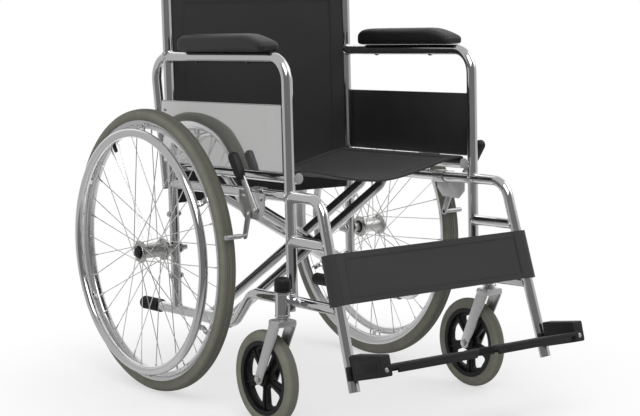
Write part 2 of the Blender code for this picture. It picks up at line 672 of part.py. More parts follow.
def build_rear_wheel(side, sign, body):
    """Tyre, rim, handrim and hub of one rear wheel."""
    centre = wheel_centre(sign)
    half, inner, outer = TYRE_HALF_WIDTH, TYRE_INNER_RADIUS, TREAD_CORNER_RADIUS
    middle = (inner + outer) / 2
    profile = [(outer, -half * 0.30), (outer - 0.004, -half * 0.76), (middle, -half),
               (inner, -half * 0.72), (inner, half * 0.72), (middle, half),
               (outer - 0.004, half * 0.76), (outer, half * 0.30)]
    tyre = turned_mesh(profile, centre, X_AXIS, WHEEL_STEPS, closed=True, on_flats=True)
    add_part(f"{side}_tyre", tyre, GREY_TYRE, body)

    rim_outer = inner - WELD_GAP
    rim_shoulder = rim_outer - 0.008
    profile = [(rim_outer, -RIM_HALF_WIDTH + 0.002), (rim_shoulder, -RIM_HALF_WIDTH),
               (RIM_INNER_RADIUS, -RIM_WELL_HALF_WIDTH), (RIM_INNER_RADIUS, RIM_WELL_HALF_WIDTH),
               (rim_shoulder, RIM_HALF_WIDTH), (rim_outer, RIM_HALF_WIDTH - 0.002)]
    rim = turned_mesh(profile, centre, X_AXIS, WHEEL_STEPS, closed=True, on_flats=True)
    add_part(f"{side}_rim", rim, CHROME, body)

    ring_radius = HANDRIM_OUTER_RADIUS - HANDRIM_TUBE_RADIUS
    profile = [(ring_radius + HANDRIM_TUBE_RADIUS * math.cos(angle), -HANDRIM_TUBE_RADIUS * math.sin(angle))
               for angle in (2 * math.pi * (i + 0.5) / 8 for i in range(8))]
    ring = turned_mesh(profile, wheel_centre(sign, HANDRIM_X), X_AXIS, WHEEL_STEPS, closed=True,
                       on_flats=True)
    handrim = add_part(f"{side}_handrim", ring, CHROME, body)
    tab_x = RIM_HALF_WIDTH + WELD_GAP
    ring_x = HANDRIM_X - WHEEL_X
    outline = [(tab_x, rim_shoulder + 0.004), (tab_x + HANDRIM_TAB_THICKNESS, rim_shoulder + 0.004),
               (tab_x + HANDRIM_TAB_THICKNESS, ring_radius + 0.002), (ring_x, ring_radius + 0.002),
               (ring_x, ring_radius - 0.002), (tab_x, ring_radius - 0.002)]
    tabs = []
    for i in range(HANDRIM_TABS):
        angle = 2 * math.pi * (i + 0.5) / HANDRIM_TABS
        radial = Vector((0, math.cos(angle), math.sin(angle)))
        outward = X_AXIS * sign
        tabs.append(plate_mesh(outline, HANDRIM_TAB_WIDTH,
                               basis_at(centre, outward, radial, outward.cross(radial))))
    unite(handrim, joined(*tabs))
    build_hub(side, sign, body)


def build_axle_bolt(side, sign, body):
    """The fixed rear axle: nut inside the frame, spacer, and cap outside the hub."""
    post_x = FRAME_HALF_WIDTH - TUBE_RADIUS - WELD_GAP
    spacer_x = FRAME_HALF_WIDTH + TUBE_RADIUS + WELD_GAP
    hub_inner_x = WHEEL_X - HUB_HALF_WIDTH - WELD_GAP
    cap_x = WHEEL_X + HUB_HALF_WIDTH + WELD_GAP
    spacer_radius = 0.010
    shaft = AXLE_RADIUS
    profile = [(0, cap_x + AXLE_CAP_LENGTH), (AXLE_CAP_RADIUS - 0.003, cap_x + AXLE_CAP_LENGTH),
               (AXLE_CAP_RADIUS, cap_x + AXLE_CAP_LENGTH - 0.003), (AXLE_CAP_RADIUS, cap_x), (shaft, cap_x),
               (shaft, hub_inner_x), (spacer_radius, hub_inner_x), (spacer_radius, spacer_x),
               (shaft, spacer_x), (shaft, post_x), (AXLE_NUT_RADIUS, post_x),
               (AXLE_NUT_RADIUS, post_x - AXLE_NUT_LENGTH), (shaft, post_x - AXLE_NUT_LENGTH),
               (shaft, AXLE_INNER_END_X), (0, AXLE_INNER_END_X)]
    mesh = turned_mesh(profile, axle_point(0, 0, AXLE_Z), X_AXIS * sign, 16)
    add_part(f"{side}_axle_bolt", mesh, BRIGHT_STEEL, body)


# Caster

def build_caster_mount(side, sign, body, clear):
    """Barrel with its lug on the side frame, and the black cap over the stem."""
    foot = axle_point(sign * CASTER_X, CASTER_Y, BARREL_Z[0])
    height = BARREL_Z[1] - BARREL_Z[0]
    bore = bore_radius(STEM_RADIUS)
    profile = [(bore, height), (BARREL_RADIUS, height), (BARREL_RADIUS, 0), (bore, 0)]
    barrel = add_part(f"{side}_caster_housing", turned_mesh(profile, foot, Z_AXIS, 16, closed=True),
                      CHROME, body)
    lug_low = axle_point(0, CASTER_Y - 0.010, BARREL_Z[0] + 0.009)
    lug_high = axle_point(0, CASTER_Y + 0.010, BARREL_Z[1] - 0.006)
    lug_x = sorted((sign * (FRAME_HALF_WIDTH + 0.006), sign * (CASTER_X - 0.010)))
    lug_low.x, lug_high.x = lug_x
    unite(barrel, box_mesh(lug_low, lug_high))
    combine(barrel, "DIFFERENCE", clear["lower_rail"], clear["arm_tube"])

    cap_height = CAP_TOP_Z - BARREL_Z[1] - WELD_GAP
    profile = [(0, cap_height), (CAP_RADIUS * 0.55, cap_height), (CAP_RADIUS * 0.9, cap_height * 0.84),
               (CAP_RADIUS, cap_height * 0.6), (CAP_RADIUS, 0), (0, 0)]
    cap_foot = axle_point(sign * CASTER_X, CASTER_Y, BARREL_Z[1] + WELD_GAP)
    add_part(f"{side}_caster_cap", turned_mesh(profile, cap_foot, Z_AXIS, 16), BLACK_PLASTIC, body)


def build_caster_fork(side, sign, body):
    """Fork with its stem in the barrel and the caster axle between its blades."""
    x = sign * CASTER_X
    axle_y = CASTER_Y + CASTER_TRAIL
    half = FORK_GAP + FORK_PLATE
    crown_low = axle_point(x - half, CASTER_Y - CROWN_HALF_LENGTH, CROWN_Z[0])
    crown_high = axle_point(x + half, CASTER_Y + CROWN_HALF_LENGTH, CROWN_Z[1])
    fork = add_part(f"{side}_caster_fork", box_mesh(crown_low, crown_high), CHROME, body)
    outline = [(CASTER_Y - CROWN_HALF_LENGTH, CROWN_Z[1]), (CASTER_Y + CROWN_HALF_LENGTH, CROWN_Z[1])]
    outline += arc_outline((axle_y, CASTER_RADIUS), FORK_END_RADIUS, 0.2, -math.pi + 0.2, 8)
    outline.append((CASTER_Y - CROWN_HALF_LENGTH, CROWN_Z[0] - 0.004))
    blades = []
    for outer in (-1, 1):
        origin = Vector((x + outer * (FORK_GAP + FORK_PLATE / 2), AXLE_Y, 0))
        blades.append(plate_mesh(outline, FORK_PLATE, basis_at(origin, Y_AXIS, Z_AXIS, X_AXIS)))
    stem_foot = axle_point(x, CASTER_Y, (CROWN_Z[0] + CROWN_Z[1]) / 2)
    race_top = axle_point(x, CASTER_Y, BARREL_Z[0] - WELD_GAP)
    stem_top = axle_point(x, CASTER_Y, BARREL_Z[1] - WELD_GAP)
    nut_reach = half + CASTER_NUT_LENGTH
    axle = cylinder_mesh(axle_point(x - nut_reach, axle_y, CASTER_RADIUS),
                         axle_point(x + nut_reach, axle_y, CASTER_RADIUS), CASTER_AXLE_RADIUS)
    nuts = [cylinder_mesh(axle_point(x + outer * (half - 0.001), axle_y, CASTER_RADIUS),
                          axle_point(x + outer * (nut_reach - 0.001), axle_y, CASTER_RADIUS),
                          CASTER_NUT_RADIUS, 6) for outer in (-1, 1)]
    unite(fork, joined(*blades), cylinder_mesh(stem_foot, race_top, 0.011),
          cylinder_mesh(stem_foot, stem_top, STEM_RADIUS), axle, joined(*nuts))


def opening_outline(inner, outer, middle_angle):
    """Outline of one opening in the caster wheel's disc."""
    inner_half, outer_half = math.radians(17), math.radians(25)
    return (arc_outline((0, 0), outer, middle_angle - outer_half, middle_angle + outer_half, 5)
            + arc_outline((0, 0), inner, middle_angle + inner_half, middle_angle - inner_half, 2))


def build_caster_wheel(side, sign, body):
    """Moulded wheel with five openings, and its tyre."""
    centre = axle_point(sign * CASTER_X, CASTER_Y + CASTER_TRAIL, CASTER_RADIUS)
    bore = bore_radius(CASTER_AXLE_RADIUS)
    hub_half = FORK_GAP - 0.0005
    rim, rim_half, web_half = CASTER_RIM_RADIUS, 0.012, 0.005
    rim_inner = rim - CASTER_RIM_WALL
    profile = [(bore, -hub_half), (bore, hub_half), (CASTER_HUB_RADIUS, hub_half),
               (CASTER_HUB_RADIUS, web_half), (rim_inner, web_half), (rim_inner, rim_half), (rim, rim_half),
               (rim, -rim_half), (rim_inner, -rim_half), (rim_inner, -web_half),
               (CASTER_HUB_RADIUS, -web_half), (CASTER_HUB_RADIUS, -hub_half)]
    mesh = turned_mesh(profile, centre, X_AXIS, CASTER_STEPS, closed=True, on_flats=True)
    wheel = add_part(f"{side}_caster_wheel", mesh, BLACK_WHEEL, body)
    openings = [plate_mesh(opening_outline(CASTER_HUB_RADIUS + 0.007, rim_inner - 0.004,
                                           2 * math.pi * i / CASTER_OPENINGS + math.pi / 2),
                           0.03, basis_at(centre, Y_AXIS, Z_AXIS, X_AXIS))
                for i in range(CASTER_OPENINGS)]
    cut(wheel, joined(*openings))

    outer, half = corner_radius(CASTER_RADIUS, CASTER_STEPS), CASTER_HALF_WIDTH
    inner = rim + WELD_GAP
    profile = [(outer, -half * 0.35), (outer - 0.004, -half * 0.8), (outer - 0.011, -half),
               (inner, -half * 0.85), (inner, half * 0.85), (outer - 0.011, half),
               (outer - 0.004, half * 0.8), (outer, half * 0.35)]
    tyre = turned_mesh(profile, centre, X_AXIS, CASTER_STEPS, closed=True, on_flats=True)
    add_part(f"{side}_caster_tyre", tyre, GREY_TYRE, body)


# Brake

def turn_about(mesh, pivot, angle):
    """Turn a mesh about the X direction through a point."""
    there = Matrix.Translation(pivot)
    mesh.transform(there @ Matrix.Rotation(angle, 4, "X") @ there.inverted())
    return mesh


def build_brake_bracket(side, sign, body, clear):
    """Plate clamped to the upper rail, with the pivot pins of lever and shoe."""
    low_y, high_y = BRAKE_PLATE_Y
    low_z, high_z = BRAKE_PLATE_Z
    chamfer = 0.018
    outline = [(low_y, low_z + chamfer), (low_y + chamfer, low_z), (high_y - chamfer, low_z),
               (high_y, low_z + chamfer), (high_y, high_z), (low_y, high_z)]
    origin = Vector((sign * BRAKE_PLATE_X, AXLE_Y, 0))
    plate = plate_mesh(outline, BRAKE_PLATE_THICKNESS, basis_at(origin, Y_AXIS, Z_AXIS, X_AXIS))
    bracket = add_part(f"{side}_brake_bracket", plate, CHROME, body)
    rail_z = AXLE_Z + UPPER_RAIL_W - BRAKE_CLAMP_Y[0] * math.sin(FRAME_TILT)
    clamp_x = sorted((sign * (FRAME_HALF_WIDTH + 0.003), sign * BRAKE_PLATE_X))
    clamp = box_mesh(axle_point(clamp_x[0], BRAKE_CLAMP_Y[0], rail_z - 0.012),
                     axle_point(clamp_x[1], BRAKE_CLAMP_Y[1], rail_z + 0.012))
    outer_x = LEVER_X + LEVER_THICKNESS / 2 + WELD_GAP
    pins = []
    for y, z in (LEVER_PIVOT, SHOE_PIVOT):
        pins.append(cylinder_mesh(axle_point(sign * BRAKE_PLATE_X, y, z),
                                  axle_point(sign * (outer_x + 0.002), y, z), BRAKE_PIN_RADIUS))
        pins.append(cylinder_mesh(axle_point(sign * outer_x, y, z),
                                  axle_point(sign * (outer_x + 0.0025), y, z), 0.007))
    unite(bracket, clamp, joined(pins[0], pins[2]), joined(pins[1], pins[3]))
    combine(bracket, "DIFFERENCE", clear["upper_rail"])


def build_brake_lever(side, sign, body, lean):
    """Hand lever with its black grip, leaning by the given angle from upright."""
    y, z = LEVER_PIVOT
    pivot = Vector((sign * LEVER_X, AXLE_Y + y, z))
    half = LEVER_WIDTH / 2
    end_radius = half + 0.002
    outline = arc_outline((0, 0), end_radius, math.pi - 0.3, 2 * math.pi + 0.3, 10)
    outline += [(half, LEVER_GRIP_START + 0.02), (-half, LEVER_GRIP_START + 0.02)]
    mesh = plate_mesh(outline, LEVER_THICKNESS, basis_at(pivot, Y_AXIS, Z_AXIS, X_AXIS))
    lever = add_part(f"{side}_brake_lever", turn_about(mesh, pivot, -lean), BLACK_PLASTIC, body)
    grip_half = LEVER_GRIP_WIDTH / 2
    outline = arc_outline((0, LEVER_LENGTH - grip_half), grip_half, 0, math.pi, 8)
    outline += [(-half - 0.0005, LEVER_GRIP_START), (half + 0.0005, LEVER_GRIP_START)]
    grip_x = Vector((sign * 0.0035, 0, 0))
    grip = plate_mesh(outline, LEVER_GRIP_THICKNESS, basis_at(pivot + grip_x, Y_AXIS, Z_AXIS, X_AXIS))
    unite(lever, turn_about(grip, pivot, -lean))
    bore = cylinder_mesh(pivot - X_AXIS * 0.01, pivot + X_AXIS * 0.01, bore_radius(BRAKE_PIN_RADIUS))
    cut(lever, bore)


def build_brake_shoe(side, sign, body, swing):
    """Shoe arm and the rod that presses on the tyre, swung from the locked place."""
    y, z = SHOE_PIVOT
    pivot = Vector((sign * LEVER_X, AXLE_Y + y, z))
    reach = TREAD_CORNER_RADIUS + SHOE_ROD_RADIUS + WELD_GAP
    rod_y = -math.sqrt(reach ** 2 - (SHOE_ROD_Z - AXLE_Z) ** 2)
    rod = Vector((sign * LEVER_X, AXLE_Y + rod_y, SHOE_ROD_Z))
    along = (rod - pivot).normalized()
    across = along.cross(X_AXIS)
    length = (rod - pivot).length
    outline = (arc_outline((0, 0), 0.008, math.pi / 2, 3 * math.pi / 2, 6)
               + arc_outline((length, 0), 0.007, -math.pi / 2, math.pi / 2, 6))
    arm = plate_mesh(outline, LEVER_THICKNESS, basis_at(pivot, along, across, X_AXIS * -1))
    shoe = add_part(f"{side}_brake_shoe", turn_about(arm, pivot, swing), BRIGHT_STEEL, body)
    rod_mesh = cylinder_mesh(rod, Vector((sign * SHOE_ROD_END_X, rod.y, rod.z)), SHOE_ROD_RADIUS)
    unite(shoe, turn_about(rod_mesh, pivot, swing))
    bore = cylinder_mesh(pivot - X_AXIS * 0.01, pivot + X_AXIS * 0.01, bore_radius(BRAKE_PIN_RADIUS))
    cut(shoe, bore)


# Footplate

def build_footplate_hinge(side, sign, body, clear):
    """Hinge block on the front of the footrest tube, with the pin that carries the plate."""
    matrix = basis_at(plate_point(sign * PLATE_AXIS_X, 0, 0), X_AXIS, SLOPE_AXIS, SLOPE_UP)
    block = box_mesh((-HINGE_HALF_WIDTH, -HINGE_REACH, HINGE_B[0]),
                     (HINGE_HALF_WIDTH, -WELD_GAP, HINGE_B[1]), matrix)
    hinge = add_part(f"{side}_footplate_hinge", block, BLACK_PLASTIC, body)
    pin = cylinder_mesh(plate_point(sign * PLATE_AXIS_X, -0.002, 0),
                        plate_point(sign * PLATE_AXIS_X, CHEEK_DEPTH, 0), PLATE_PIN_RADIUS)
    unite(hinge, pin)
    combine(hinge, "DIFFERENCE", clear["footrest_tube"])


def build_footplate(side, sign, body):
    """Moulded footplate with the cheek that turns on the hinge pin."""
    origin = plate_point(sign * PLATE_AXIS_X, 0, 0)
    matrix = basis_at(origin, X_AXIS, SLOPE_AXIS, SLOPE_UP)
    inner = sign * PLATE_INNER_X - sign * PLATE_AXIS_X
    corner = 0.012
    step = 1 if inner > 0 else -1
    outline = [(0, 0), (inner, 0), (inner, PLATE_DEPTH - corner), (inner - step * corner, PLATE_DEPTH),
               (step * 2 * CHEEK_HALF_WIDTH, PLATE_DEPTH), (step * CHEEK_HALF_WIDTH, CHEEK_DEPTH),
               (0, CHEEK_DEPTH)]
    plate = plate_mesh(outline, PLATE_THICKNESS, matrix)
    footplate = add_part(f"{side}_footplate", plate, BLACK_PLASTIC, body)
    outline = [(CHEEK_START, CHEEK_BOTTOM), (CHEEK_DEPTH, CHEEK_BOTTOM), (CHEEK_DEPTH, CHEEK_TOP[1]),
               (CHEEK_START, CHEEK_TOP[0])]
    cheek = plate_mesh(outline, 2 * CHEEK_HALF_WIDTH, basis_at(origin, SLOPE_AXIS, SLOPE_UP, X_AXIS))
    unite(footplate, cheek)
    bore = cylinder_mesh(plate_point(sign * PLATE_AXIS_X, -0.01, 0),
                         plate_point(sign * PLATE_AXIS_X, CHEEK_DEPTH + 0.01, 0),
                         bore_radius(PLATE_PIN_RADIUS))
    cut(footplate, bore)


# Cross brace

def build_cross(name, sign, u_places, body, clear):
    """One member of the cross: two tubes from a sleeve on a lower rail to a seat rail."""
    tubes = []
    slope = (PIVOT_W - LOWER_RAIL_W) / FRAME_HALF_WIDTH
    knee_w = PIVOT_W + CROSS_KNEE_X * slope
    for u in u_places:
        corners = [frame_point(-sign * FRAME_HALF_WIDTH, u, LOWER_RAIL_W),
                   frame_point(sign * CROSS_KNEE_X, u, knee_w),
                   frame_point(sign * SEAT_RAIL_X, u, SEAT_RAIL_W)]
        path = shortened(rounded_path(corners, (CROSS_KNEE_RADIUS,), 3), start=True, end=True)
        tubes.append(tube_mesh(path, TUBE_RADIUS))
    margin = TUBE_RADIUS + SLEEVE_OVERHANG
    ends = [frame_point(-sign * FRAME_HALF_WIDTH, u, LOWER_RAIL_W)
            for u in (u_places[0] - margin, u_places[1] + margin)]
    sleeve_bore = bore_radius(TUBE_RADIUS, 2 * TUBE_FACETS + 4)
    sleeve = cylinder_mesh(*ends, sleeve_bore + SLEEVE_WALL)
    cross = add_part(name, sleeve, CHROME, body)
    unite(cross, joined(*tubes))
    room = 0.01 * U_AXIS
    bore = tube_mesh([ends[0] - room, ends[1] + room], sleeve_bore)
    pin_bore = cylinder_mesh(frame_point(0, u_places[0] - 0.05, PIVOT_W),
                             frame_point(0, u_places[1] + 0.05, PIVOT_W), bore_radius(PIVOT_BOLT_RADIUS))
    cut(cross, bore, pin_bore)
    combine(cross, "DIFFERENCE", clear["seat_rail"])


def build_pivot_bolt(body, rear_u, front_u):
    """Bolt through the middle of the cross, with its head behind and a square cap in front."""
    head_u = rear_u - TUBE_RADIUS - WELD_GAP
    cap_u = front_u + TUBE_RADIUS + WELD_GAP
    bolt_mesh = cylinder_mesh(frame_point(0, head_u - 0.001, PIVOT_W), frame_point(0, cap_u + 0.004, PIVOT_W),
                              PIVOT_BOLT_RADIUS)
    bolt = add_part("cross_pivot_bolt", bolt_mesh, BLACK_PLASTIC, body)
    head = cylinder_mesh(frame_point(0, head_u - PIVOT_HEAD_HEIGHT, PIVOT_W), frame_point(0, head_u, PIVOT_W),
                         PIVOT_HEAD_RADIUS, 6)
    half = PIVOT_CAP_SIDE / 2
    cap = box_mesh((-half, 0, -half), (half, PIVOT_CAP_LENGTH, half),
                   basis_at(frame_point(0, cap_u, PIVOT_W), X_AXIS, U_AXIS, W_AXIS))
    unite(bolt, head, cap)


# Upholstery

def across_places(half_width, count):
    """Evenly spaced places from one side to the other."""
    return [-half_width + 2 * half_width * i / count for i in range(count + 1)]


def build_seat(body):
    """Seat sling, laid over the two seat rails and sagging between them."""
    edge_w = SEAT_RAIL_W + TUBE_RADIUS + WELD_GAP
    rows = []
    for k in range(7):
        u = SEAT_U[0] + (SEAT_U[1] - SEAT_U[0]) * k / 6
        row = []
        for x in across_places(SEAT_HALF_WIDTH, 24):
            span = min(1.0, abs(x) / SEAT_RAIL_X)
            fold = 0.0012 * math.cos(3 * math.pi * span) * math.sin(math.pi * k / 6)
            row.append(frame_point(x, u, edge_w - SEAT_SAG * (1 - span ** 2) ** 2 + fold * (1 - span)))
        rows.append(row)
    add_part("seat", sheet_mesh(rows, SEAT_THICKNESS, -1.0), BLACK_CLOTH, body)


def build_back(body):
    """Back sling between the two rear posts, bulging a little to the rear."""
    half_width = FRAME_HALF_WIDTH - TUBE_RADIUS - 2 * WELD_GAP
    rows = []
    for k in range(11):
        w = BACK_W[0] + (BACK_W[1] - BACK_W[0]) * k / 10
        row = []
        for x in across_places(half_width, 16):
            span = abs(x) / half_width
            row.append(frame_point(x, BACK_U - BACK_SAG * (1 - span ** 2), w))
        rows.append(row)
    add_part("back", sheet_mesh(rows, BACK_THICKNESS), BLACK_CLOTH, body)


def footrest_frame(sign, z):
    """Point on the footrest tube's centre line at the height z, and its forward normal there."""
    points = footrest_path(sign)
    for upper, lower in zip(points, points[1:]):
        if upper.z > lower.z and upper.z >= z >= lower.z:
            along = lower - upper
            return upper.lerp(lower, (upper.z - z) / (upper.z - lower.z)), along.cross(X_AXIS).normalized()
    return points[-1], -Y_AXIS


def build_calf_strap(body):
    """Calf strap across the footrest tubes, hooked round each of them."""
    radius = TUBE_RADIUS + 2 * WELD_GAP + STRAP_THICKNESS / 2
    rows = []
    for k in range(5):
        z = STRAP_Z[0] + (STRAP_Z[1] - STRAP_Z[0]) * k / 4
        right, normal = footrest_frame(-1, z)
        left, _ = footrest_frame(1, z)
        angles = [STRAP_HOOK_ANGLE * (1 - i / 6) for i in range(7)]
        row = [right - X_AXIS * radius * math.sin(a) + normal * radius * math.cos(a) for a in angles]
        row += [right.lerp(left, i / 8) + normal * radius for i in range(1, 8)]
        row += [left + X_AXIS * radius * math.sin(a) + normal * radius * math.cos(a)
                for a in reversed(angles)]
        rows.append(row)
    add_part("calf_strap", sheet_mesh(rows, STRAP_THICKNESS), BLACK_CLOTH, body)


# The chair

def build_side(side, sign, frame_body):
    """One side of the chair on its frame body. Returns the frame's clearance cutters."""
    clear = build_side_tubes(side, sign, frame_body)
    build_side_trim(side, sign, frame_body)
    build_axle_bolt(side, sign, frame_body)
    build_caster_mount(side, sign, frame_body, clear)
    build_brake_bracket(side, sign, frame_body, clear)
    build_footplate_hinge(side, sign, frame_body, clear)

    wheel_body = add_body(f"{side}_wheel_body", wheel_centre(sign), frame_body)
    build_rear_wheel(side, sign, wheel_body)

    caster_body = add_body(f"{side}_caster_body", axle_point(sign * CASTER_X, CASTER_Y, BARREL_Z[0]),
                           frame_body)
    build_caster_fork(side, sign, caster_body)
    caster_axle = axle_point(sign * CASTER_X, CASTER_Y + CASTER_TRAIL, CASTER_RADIUS)
    build_caster_wheel(side, sign, add_body(f"{side}_caster_wheel_body", caster_axle, caster_body))

    locked = side == "left"
    lever_body = add_body(f"{side}_lever_body", axle_point(sign * LEVER_X, *LEVER_PIVOT), frame_body)
    build_brake_lever(side, sign, lever_body, LEVER_LOCKED_LEAN if locked else LEVER_OPEN_LEAN)
    shoe_body = add_body(f"{side}_shoe_body", axle_point(sign * LEVER_X, *SHOE_PIVOT), frame_body)
    build_brake_shoe(side, sign, shoe_body, 0.0 if locked else SHOE_OPEN_SWING)

    plate_body = add_body(f"{side}_plate_body", plate_point(sign * PLATE_AXIS_X, 0, 0), frame_body)
    build_footplate(side, sign, plate_body)
    return clear


def build_chair():
    """The whole chair: right frame, cross brace, left frame and upholstery."""
    right_body = add_body("right_frame_body", Vector((0, 0, 0)))
    cross_a_body = add_body("cross_a_body", frame_point(-FRAME_HALF_WIDTH, 0, LOWER_RAIL_W), right_body)
    cross_b_body = add_body("cross_b_body", frame_point(0, 0, PIVOT_W), cross_a_body)
    left_body = add_body("left_frame_body", frame_point(FRAME_HALF_WIDTH, 0, LOWER_RAIL_W), cross_b_body)
    right_clear = build_side("right", SIDES["right"], right_body)
    left_clear = build_side("left", SIDES["left"], left_body)

    cross_b_u = tuple(u - CROSS_B_SETBACK for u in CROSS_A_U)
    build_cross("cross_a", SIDES["left"], CROSS_A_U, cross_a_body, left_clear)
    build_cross("cross_b", SIDES["right"], cross_b_u, cross_b_body, right_clear)
    for side, body in (("left", cross_a_body), ("right", cross_b_body)):
        path = frame_paths(SIDES[side])["seat_rail"]
        add_part(f"{side}_seat_rail", tube_mesh(path, TUBE_RADIUS), CHROME, body)
    build_pivot_bolt(cross_a_body, cross_b_u[0], CROSS_A_U[1])
    build_seat(cross_a_body)
    build_back(right_body)
    build_calf_strap(right_body)


build_chair()
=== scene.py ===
"""Looks of a folding wheelchair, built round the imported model.

Metres, +Z up. The chair faces -Y, the user's right is at -X. The tubes are laid out in frame
coordinates: x across the chair, u forward and w upward from the rear axle, both along the side
frames, which lean back a little.
"""
from __future__ import annotations

import logging
import math
from dataclasses import dataclass
from enum import Enum
from functools import partial
from typing import Callable, Iterable, Mapping, Sequence, Union

import bmesh
import bpy
from mathutils import Matrix, Vector

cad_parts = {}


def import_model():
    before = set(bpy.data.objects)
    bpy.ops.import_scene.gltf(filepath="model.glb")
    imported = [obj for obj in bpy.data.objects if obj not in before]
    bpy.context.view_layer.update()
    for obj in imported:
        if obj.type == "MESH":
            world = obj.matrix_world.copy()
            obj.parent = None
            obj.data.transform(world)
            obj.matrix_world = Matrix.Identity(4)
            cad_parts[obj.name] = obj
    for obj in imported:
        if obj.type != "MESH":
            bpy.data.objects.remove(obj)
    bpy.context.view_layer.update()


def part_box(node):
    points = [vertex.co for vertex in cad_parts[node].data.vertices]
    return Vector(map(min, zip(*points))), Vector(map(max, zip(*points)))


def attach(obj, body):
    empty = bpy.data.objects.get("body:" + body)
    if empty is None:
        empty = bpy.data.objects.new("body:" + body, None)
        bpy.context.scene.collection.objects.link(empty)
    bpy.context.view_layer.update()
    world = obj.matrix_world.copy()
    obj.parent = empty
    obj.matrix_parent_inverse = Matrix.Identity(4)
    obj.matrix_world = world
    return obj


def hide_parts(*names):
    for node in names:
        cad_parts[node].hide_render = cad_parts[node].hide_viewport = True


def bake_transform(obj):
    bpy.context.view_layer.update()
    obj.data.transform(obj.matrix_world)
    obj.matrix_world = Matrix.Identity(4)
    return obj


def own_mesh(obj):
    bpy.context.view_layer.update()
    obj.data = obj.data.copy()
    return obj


LOG = logging.getLogger("folding_wheelchair")
X_AXIS, Y_AXIS, Z_AXIS = Vector((1, 0, 0)), Vector((0, 1, 0)), Vector((0, 0, 1))
Pair = tuple[float, float]
Triple = tuple[float, float, float]
Surface = Callable[[float, float, float], Vector]
Inputs = Mapping[Union[str, int], object]


# Where things are


class Side(Enum):
    """The user's right or left side of the chair."""

    RIGHT = -1
    LEFT = 1

    @property
    def label(self) -> str:
        """The side's name, as the model's nodes have it."""
        return self.name.lower()


@dataclass(frozen=True)
class Layout:
    """Sizes that several sub-assemblies share, and the places they are measured from."""

    axle_y: float
    axle_z: float
    lean: float = math.radians(2.4)
    plate_slope: float = math.radians(16.0)
    half_width: float = 0.240
    tube: float = 0.011
    post_u: float = 0.4324
    upper_w: float = 0.141
    lower_w: float = -0.135
    lower_front_w: float = -0.066
    seat_w: float = 0.175
    arm_w: float = 0.413
    handle_w: float = 0.580
    seat_rail_x: float = 0.2165
    wheel_x: float = 0.299
    handrim_x: float = 0.334
    caster_x: float = 0.274
    caster_y: float = -0.447
    caster_radius: float = 0.0975
    plate_rear: Pair = (-0.650, 0.150)
    foot_knee: Pair = (0.590, -0.055)
    foot_end: Pair = (0.6395, -0.217)
    foot_corner_u: float = 0.5323
    foot_flare: float = 0.010

    @classmethod
    def from_model(cls) -> "Layout":
        """The layout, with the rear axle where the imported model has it."""
        low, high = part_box("right_tyre")
        return cls(axle_y=(low.y + high.y) / 2, axle_z=(low.z + high.z) / 2)

    @property
    def forward(self) -> Vector:
        """Direction of u, forward along the side frame."""
        return Vector((0, -math.cos(self.lean), math.sin(self.lean)))

    @property
    def upward(self) -> Vector:
        """Direction of w, upward along the side frame."""
        return Vector((0, math.sin(self.lean), math.cos(self.lean)))

    @property
    def slope(self) -> Vector:
        """Direction from the rear to the front of a footplate."""
        return Vector((0, -math.cos(self.plate_slope), math.sin(self.plate_slope)))

    @property
    def slope_up(self) -> Vector:
        """Direction square to a footplate's upper face."""
        return Vector((0, math.sin(self.plate_slope), math.cos(self.plate_slope)))

    def at(self, x: float, u: float, w: float) -> Vector:
        """Point of the frame coordinates x, u, w."""
        return Vector((x, self.axle_y, self.axle_z)) + u * self.forward + w * self.upward

    def behind(self, x: float, y: float, z: float) -> Vector:
        """Point at distance y behind the rear axle and height z above the floor."""
        return Vector((x, self.axle_y + y, z))

    def on_plate(self, x: float, t: float, b: float) -> Vector:
        """Point of the footplate coordinates: t along the slope, b above the plate's middle."""
        return self.behind(x, *self.plate_rear) + t * self.slope + b * self.slope_up

    def flare(self, w: float) -> float:
        """How far the footrest tube stands outboard at the height w."""
        return self.foot_flare * (self.upper_w - w) / (self.upper_w - self.foot_end[1])

    def footrest(self, sign: int, w: float) -> Vector:
        """Point on the straight runs of a footrest tube's centre line.

        Args:
            sign: -1 on the user's right, 1 on the left.
            w: Its height.

        Returns:
            The point.
        """
        places = ((self.foot_corner_u, self.upper_w), self.foot_knee, self.foot_end)
        upper, lower = places[:2] if w > self.foot_knee[1] else places[1:]
        u = upper[0] + (lower[0] - upper[0]) * (upper[1] - w) / (upper[1] - lower[1])
        return self.at(sign * (self.half_width + self.flare(w)), u, w)


def shift(x: float, y: float, z: float) -> Matrix:
    """Matrix that moves a shape."""
    return Matrix.Translation((x, y, z))


def axes_at(origin: Vector, first: Vector, second: Vector, third: Vector) -> Matrix:
    """Matrix that takes +X, +Y and +Z to three directions, at the origin given."""
    return Matrix.Translation(origin) @ Matrix((first, second, third)).transposed().to_4x4()


def pointing(origin: Vector, axis: Vector, turn: float = 0.0) -> Matrix:
    """Matrix that takes +Z to the axis, at the origin given, after a turn about +Z."""
    tilt = Z_AXIS.rotation_difference(axis).to_matrix().to_4x4()
    return Matrix.Translation(origin) @ tilt @ Matrix.Rotation(turn, 4, "Z")


def arc(centre: Pair, radius: float, start: float, end: float, steps: int = 8) -> list[Pair]:
    """Points on an arc, from the start angle to the end angle."""
    angles = [start + (end - start) * i / steps for i in range(steps + 1)]
    return [(centre[0] + radius * math.cos(a), centre[1] + radius * math.sin(a)) for a in angles]


def circle(radius: float, corners: int) -> list[Pair]:
    """A closed round outline about the origin."""
    return arc((0, 0), radius, 0, 2 * math.pi * (corners - 1) / corners, corners - 1)


def oblong(low: Pair, high: Pair, radius: float, steps: int = 5) -> list[Pair]:
    """A closed rectangular outline with rounded corners."""
    return rounded_outline([low, (high[0], low[1]), high, (low[0], high[1])], radius, steps)


